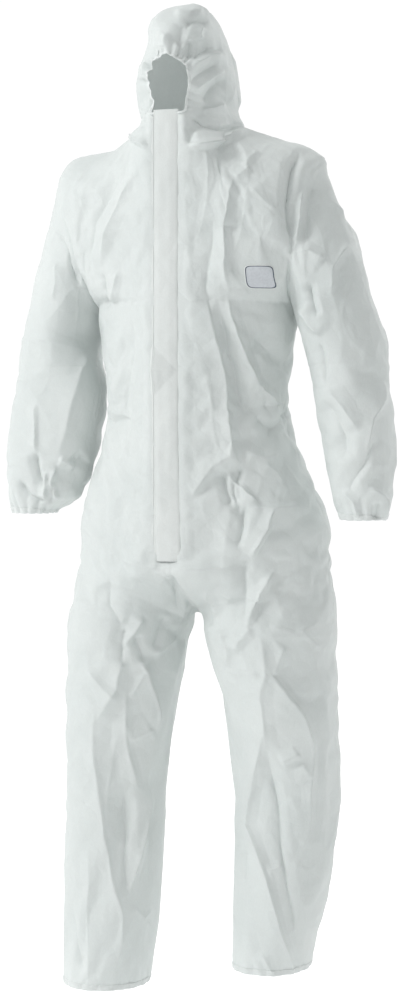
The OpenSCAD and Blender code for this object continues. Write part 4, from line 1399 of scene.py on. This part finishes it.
def multiplied(tree, colour, other):
    """Two colours multiplied with each other."""
    node = tree.nodes.new("ShaderNodeMix")
    node.data_type, node.blend_type = "RGBA", "MULTIPLY"
    node.inputs["Factor"].default_value = 1.0
    pair = [s for s in node.inputs if s.type == "RGBA"]
    tree.links.new(colour, pair[0])
    tree.links.new(other, pair[1])
    return [s for s in node.outputs if s.type == "RGBA"][0]


def roughness(tree, shader, factor, low, high):
    node = add(tree, "ShaderNodeMapRange", To_Min=low, To_Max=high)
    tree.links.new(factor, node.inputs["Value"])
    tree.links.new(node.outputs["Result"], shader.inputs["Roughness"])


def voronoi(tree, place, scale, feature="F1", random=1.0):
    node = tree.nodes.new("ShaderNodeTexVoronoi")
    node.feature = feature
    node.inputs["Scale"].default_value = scale
    node.inputs["Randomness"].default_value = random
    tree.links.new(place, node.inputs["Vector"])
    return node.outputs["Distance"]


def laminate(name, light, shade, through=0.20, crease=1.0):
    """Spun-bonded non-woven with a thin film: bond points, laid fibres, packing creases and a soft sheen."""
    mat, tree, shader = tree_of(name)
    place = place_of(tree)
    cloud = noise_node(tree, place, 7.0, 4.0)
    fibre = noise_node(tree, place_of(tree, (1, 1, 0.35)), 620.0, 3.0, distortion=1.4)
    bonds = voronoi(tree, place, 520.0, random=0.35)
    colour = ramp(tree, cloud, [(0.32, shade), (0.68, light)])
    speck = ramp(tree, fibre, [(0.35, (0.96, 0.96, 0.96)), (0.65, (1.0, 1.0, 1.0))])
    colour = multiplied(tree, colour, speck)
    tree.links.new(colour, shader.inputs["Base Color"])
    packing = noise_node(tree, place_of(tree, (1, 1, 0.6)), 13.0, 3.0, "RIDGED_MULTIFRACTAL", 0.4)
    facets = voronoi(tree, place, 34.0, "DISTANCE_TO_EDGE")
    normal = bump(tree, packing, 0.006 * crease, 0.75)
    normal = bump(tree, facets, 0.005 * crease, 0.32, normal)
    normal = bump(tree, bonds, 0.0003, 0.35, normal)
    normal = bump(tree, fibre, 0.0001, 0.4, normal)
    tree.links.new(normal, shader.inputs["Normal"])
    roughness(tree, shader, cloud, 0.52, 0.68)
    shader.inputs["Sheen Weight"].default_value = 0.12
    shader.inputs["Sheen Roughness"].default_value = 0.5
    shader.inputs["Specular IOR Level"].default_value = 0.35
    glow = tree.nodes.new("ShaderNodeBsdfTranslucent")
    tree.links.new(colour, glow.inputs["Color"])
    tree.links.new(normal, glow.inputs["Normal"])
    blend = add(tree, "ShaderNodeMixShader", Fac=through)
    out = tree.nodes["Material Output"]
    tree.links.new(shader.outputs["BSDF"], blend.inputs[1])
    tree.links.new(glow.outputs["BSDF"], blend.inputs[2])
    tree.links.new(blend.outputs["Shader"], out.inputs["Surface"])
    return mat


def woven(name, light, shade, thread, rough=(0.5, 0.7), kept=True, high=0.0002):
    """A fine woven or knitted surface: two crossed sets of threads with uneven colour."""
    mat, tree, shader = tree_of(name)
    place = place_of(tree, kept=kept)
    sets = []
    for way in ("X", "Z"):
        wave = tree.nodes.new("ShaderNodeTexWave")
        wave.bands_direction = way
        wave.inputs["Scale"].default_value = thread
        wave.inputs["Distortion"].default_value = 0.6
        tree.links.new(place, wave.inputs["Vector"])
        sets.append(wave.outputs["Fac"])
    cloud = noise_node(tree, place, 60.0, 4.0)
    fuzz = noise_node(tree, place, 900.0, 2.0)
    colour = ramp(tree, cloud, [(0.3, shade), (0.7, light)])
    tree.links.new(colour, shader.inputs["Base Color"])
    normal = bump(tree, sets[0], high, 0.5)
    normal = bump(tree, sets[1], high, 0.5, normal)
    normal = bump(tree, fuzz, high / 3, 0.4, normal)
    tree.links.new(normal, shader.inputs["Normal"])
    roughness(tree, shader, cloud, *rough)
    shader.inputs["Sheen Weight"].default_value = 0.15
    return mat


def moulded(name, light, shade, rough, scale=80.0, coat=0.0, kept=False):
    """A moulded or enamelled surface with faint flow marks, rubbed patches and fine texture."""
    mat, tree, shader = tree_of(name)
    place = place_of(tree, kept=kept)
    flow = noise_node(tree, place, scale, 5.0, distortion=0.8)
    fine = noise_node(tree, place, scale * 14, 2.0)
    tree.links.new(ramp(tree, flow, [(0.35, shade), (0.65, light)]), shader.inputs["Base Color"])
    normal = bump(tree, flow, 0.0001, 0.4)
    normal = bump(tree, fine, 0.00003, 0.3, normal)
    tree.links.new(normal, shader.inputs["Normal"])
    roughness(tree, shader, flow, *rough)
    shader.inputs["Coat Weight"].default_value = coat
    return mat


def printed_patch():
    """A plain printed patch: pale grey field inside a thin darker line, with no lettering."""
    mat, tree, shader = tree_of("patch_print")
    mark = tree.nodes.new("ShaderNodeAttribute")
    mark.attribute_name = "mark"
    field, line, cloth = (0.53, 0.56, 0.59), (0.05, 0.07, 0.10), (0.70, 0.73, 0.72)
    ink = ramp(tree, mark.outputs["Fac"], [(0.0, field), (0.865, field), (0.88, line), (0.93, line),
                                           (0.945, cloth)])
    place = place_of(tree)
    worn = noise_node(tree, place, 260.0, 4.0)
    speck = ramp(tree, worn, [(0.3, (0.90, 0.90, 0.90)), (0.6, (1.0, 1.0, 1.0))])
    tree.links.new(multiplied(tree, ink, speck), shader.inputs["Base Color"])
    normal = bump(tree, voronoi(tree, place, 520.0, random=0.35), 0.0003, 0.3)
    tree.links.new(normal, shader.inputs["Normal"])
    roughness(tree, shader, worn, 0.45, 0.6)
    return mat


def paint(obj, mat):
    obj.data.materials.clear()
    obj.data.materials.append(mat)


# ---------------------------------------------------------------- build

bpy.context.scene.view_settings.view_transform = "Standard"
add_camera()
add_light()
add_floor()

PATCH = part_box("chest_patch")
PATCH_X, PATCH_Z = (PATCH[0][0] + PATCH[1][0]) / 2, (PATCH[0][2] + PATCH[1][2]) / 2

grids = all_grids()
suit = mesh_object("suit", sew(grids))
move_points(suit, shape_opening(points_of(suit)))
simulate(suit)
refine(suit, 2)
loops, inward = shape_suit(suit, grids)
points, normals = points_of(suit), normals_of(suit)
pieces = cut_pieces(suit, grids)

WHITE = laminate("white_laminate", (0.712, 0.748, 0.737), (0.660, 0.700, 0.690))
FLAT_WHITE = laminate("white_laminate_double", (0.72, 0.75, 0.737), (0.675, 0.71, 0.697), through=0.18,
                      crease=0.6)
ELASTIC = woven("white_elastic", (0.66, 0.695, 0.685), (0.60, 0.635, 0.625), 260.0)
TAPE = woven("zip_tape", (0.78, 0.80, 0.80), (0.70, 0.73, 0.73), 420.0, kept=False)
LABEL = woven("label_satin", (0.84, 0.84, 0.82), (0.78, 0.78, 0.76), 500.0, rough=(0.3, 0.42), high=0.0001)
COIL = moulded("zip_coil", (0.80, 0.82, 0.82), (0.74, 0.77, 0.77), (0.3, 0.42), kept=True)
ENAMEL = moulded("slider_enamel", (0.80, 0.82, 0.82), (0.72, 0.75, 0.75), (0.22, 0.36), coat=0.3)
FILM = moulded("adhesive_film", (0.76, 0.80, 0.81), (0.68, 0.73, 0.75), (0.2, 0.34), kept=True)
PRINT = printed_patch()

CLOTH_NODES = {"chest": "chest_%s_panel", "upper_back": "upper_back_%s_panel", "hood": "hood_%s_panel",
               "lower_front": "lower_front_%s_panel", "lower_back": "lower_back_%s_panel",
               "upper_sleeve": "upper_sleeve_%s", "lower_sleeve": "lower_sleeve_%s",
               "upper_leg": "upper_leg_%s", "lower_leg": "lower_leg_%s"}


def hang(obj, panel):
    """The body that a panel of cloth follows: sleeves, legs, hood and face stay where they are in the frame,
    every other panel rides the torso.
    """
    if panel == "upper_sleeve":
        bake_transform(obj)
    elif panel == "lower_sleeve":
        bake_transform(obj)
    elif panel == "upper_leg":
        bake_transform(obj)
    elif panel == "lower_leg":
        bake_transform(obj)
    elif panel.startswith("hood") or panel == "face":
        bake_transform(obj)
    else:
        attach(obj, "torso")


# Width and half thickness of each folded band, and the depth of the allowance under the cloth
FACE_BAND_SIZE, HEM_BAND_SIZE = (0.006, 0.0007), (0.011, 0.0012)
ALLOWANCE_SIZE, ALLOWANCE_DEPTH = (0.007, 0.0005), 0.0012
# The face opening's ring is near the middle and open below the chin; hems lower than this are ankles
FACE_REACH, CHIN_Z, ANKLES_BELOW_Z = 0.05, 0.100, -1.0

for grid in grids:
    obj = pieces[grid.panel + ("_" + grid.side if grid.side else "")]
    paint(obj, WHITE)
    hang(obj, grid.panel)
    if grid.side:
        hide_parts(CLOTH_NODES[grid.panel] % grid.side)
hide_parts("hood_centre_panel")
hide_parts("crotch_gusset")

centre = pieces["hood_centre"]
centre_points, centre_normals = points_of(centre), normals_of(centre)
centre_rings, centre_inward = border_loops(centre)
around = centre_rings[0]
inside = centre_points - centre_normals * ALLOWANCE_DEPTH
allowance = band("hood_seam_allowance", around, True, smooth_ring(around, inside, True), centre_normals,
                 centre_inward, *ALLOWANCE_SIZE)
paint(allowance, ELASTIC)
hang(allowance, "face")

for ring in loops:
    middle = points[ring].mean(axis=0)
    side = "left" if middle[0] > 0 else "right"
    if abs(middle[0]) < FACE_REACH:
        above = [k for k in range(len(ring)) if points[ring[k], 2] > CHIN_Z]
        first = next(k for k in above if points[ring[k - 1], 2] <= CHIN_Z)
        turned = ring[first:] + ring[:first]
        face = [i for i in turned if points[i, 2] > CHIN_Z]
        even = smooth_ring(face, points, False)
        obj = band("face_elastic_band", face, False, even, normals, inward, *FACE_BAND_SIZE)
        hang(obj, "face")
        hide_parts("face_elastic")
    else:
        hem, limb = ("ankle", "_shin") if middle[2] <= ANKLES_BELOW_Z else ("cuff", "_forearm")
        even = smooth_ring(ring, points, True)
        obj = band("%s_elastic_%s_band" % (hem, side), ring, True, even, normals, inward, *HEM_BAND_SIZE)
        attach(obj, side + limb)
        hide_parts("%s_elastic_%s" % (hem, side))
    paint(obj, ELASTIC)

for obj, mat, slot, body, node in (
        (make_flap(), FLAT_WHITE, "white_laminate", "flap", "storm_flap"),
        (make_flap_fold(), FLAT_WHITE, "white_laminate", "torso", "flap_seam_fold"),
        (make_adhesive(), FILM, "adhesive_film", "flap", "flap_adhesive_strip"),
        (make_coil("left"), COIL, "zip_coil", "torso", "zip_coil_left"),
        (make_coil("right"), COIL, "zip_coil", "torso", "zip_coil_right"),
        (make_label(), LABEL, "label_satin", "torso", "size_label"),
        (make_waist(points, normals), ELASTIC, "white_elastic", "torso", "waist_elastic"),
        (over_cloth("chest_patch_print", pieces["chest_left"], PATCH, 0.0007), PRINT, "patch_print", "torso",
         "chest_patch")):
    paint(obj, mat)
    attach(obj, body)
    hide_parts(node)

for node, mat in (("zip_tape_left", TAPE), ("zip_tape_right", TAPE), ("zip_top_stops", ENAMEL),
                  ("zip_bottom_stop", ENAMEL), ("zip_slider", ENAMEL), ("zip_pull_tab", ENAMEL)):
    for part in bpy.data.objects[node].material_slots:
        part.material = mat
bpy.data.objects.remove(suit)

# Flat width, length and area of each panel (m, m2), estimates chosen near this model's own panel areas,
# and the piece that it hangs from
CUTS = {"chest": (0.30, 0.33, 0.078, "hood_%s_cloth"),
        "upper_back": (0.31, 0.33, 0.080, "hood_%s_cloth"),
        "lower_front": (0.32, 0.59, 0.158, "chest_%s_cloth"),
        "lower_back": (0.33, 0.59, 0.160, "upper_back_%s_cloth"),
        "upper_sleeve": (0.53, 0.36, 0.110, "chest_%s_cloth"),
        "lower_sleeve": (0.46, 0.27, 0.107, "upper_sleeve_%s_cloth"),
        "upper_leg": (0.76, 0.31, 0.203, "lower_front_%s_cloth"),
        "lower_leg": (0.60, 0.33, 0.178, "upper_leg_%s_cloth"),
        "hood": (0.24, 0.24, 0.046, "hood_centre_cloth")}
HEMS = {"lower_sleeve": "cuff_elastic_%s_band", "lower_leg": "ankle_elastic_%s_band"}
for grid in grids:
    if grid.side:
        wide, long, area, above = CUTS[grid.panel]
        hem = [HEMS[grid.panel] % grid.side] if grid.panel in HEMS else []
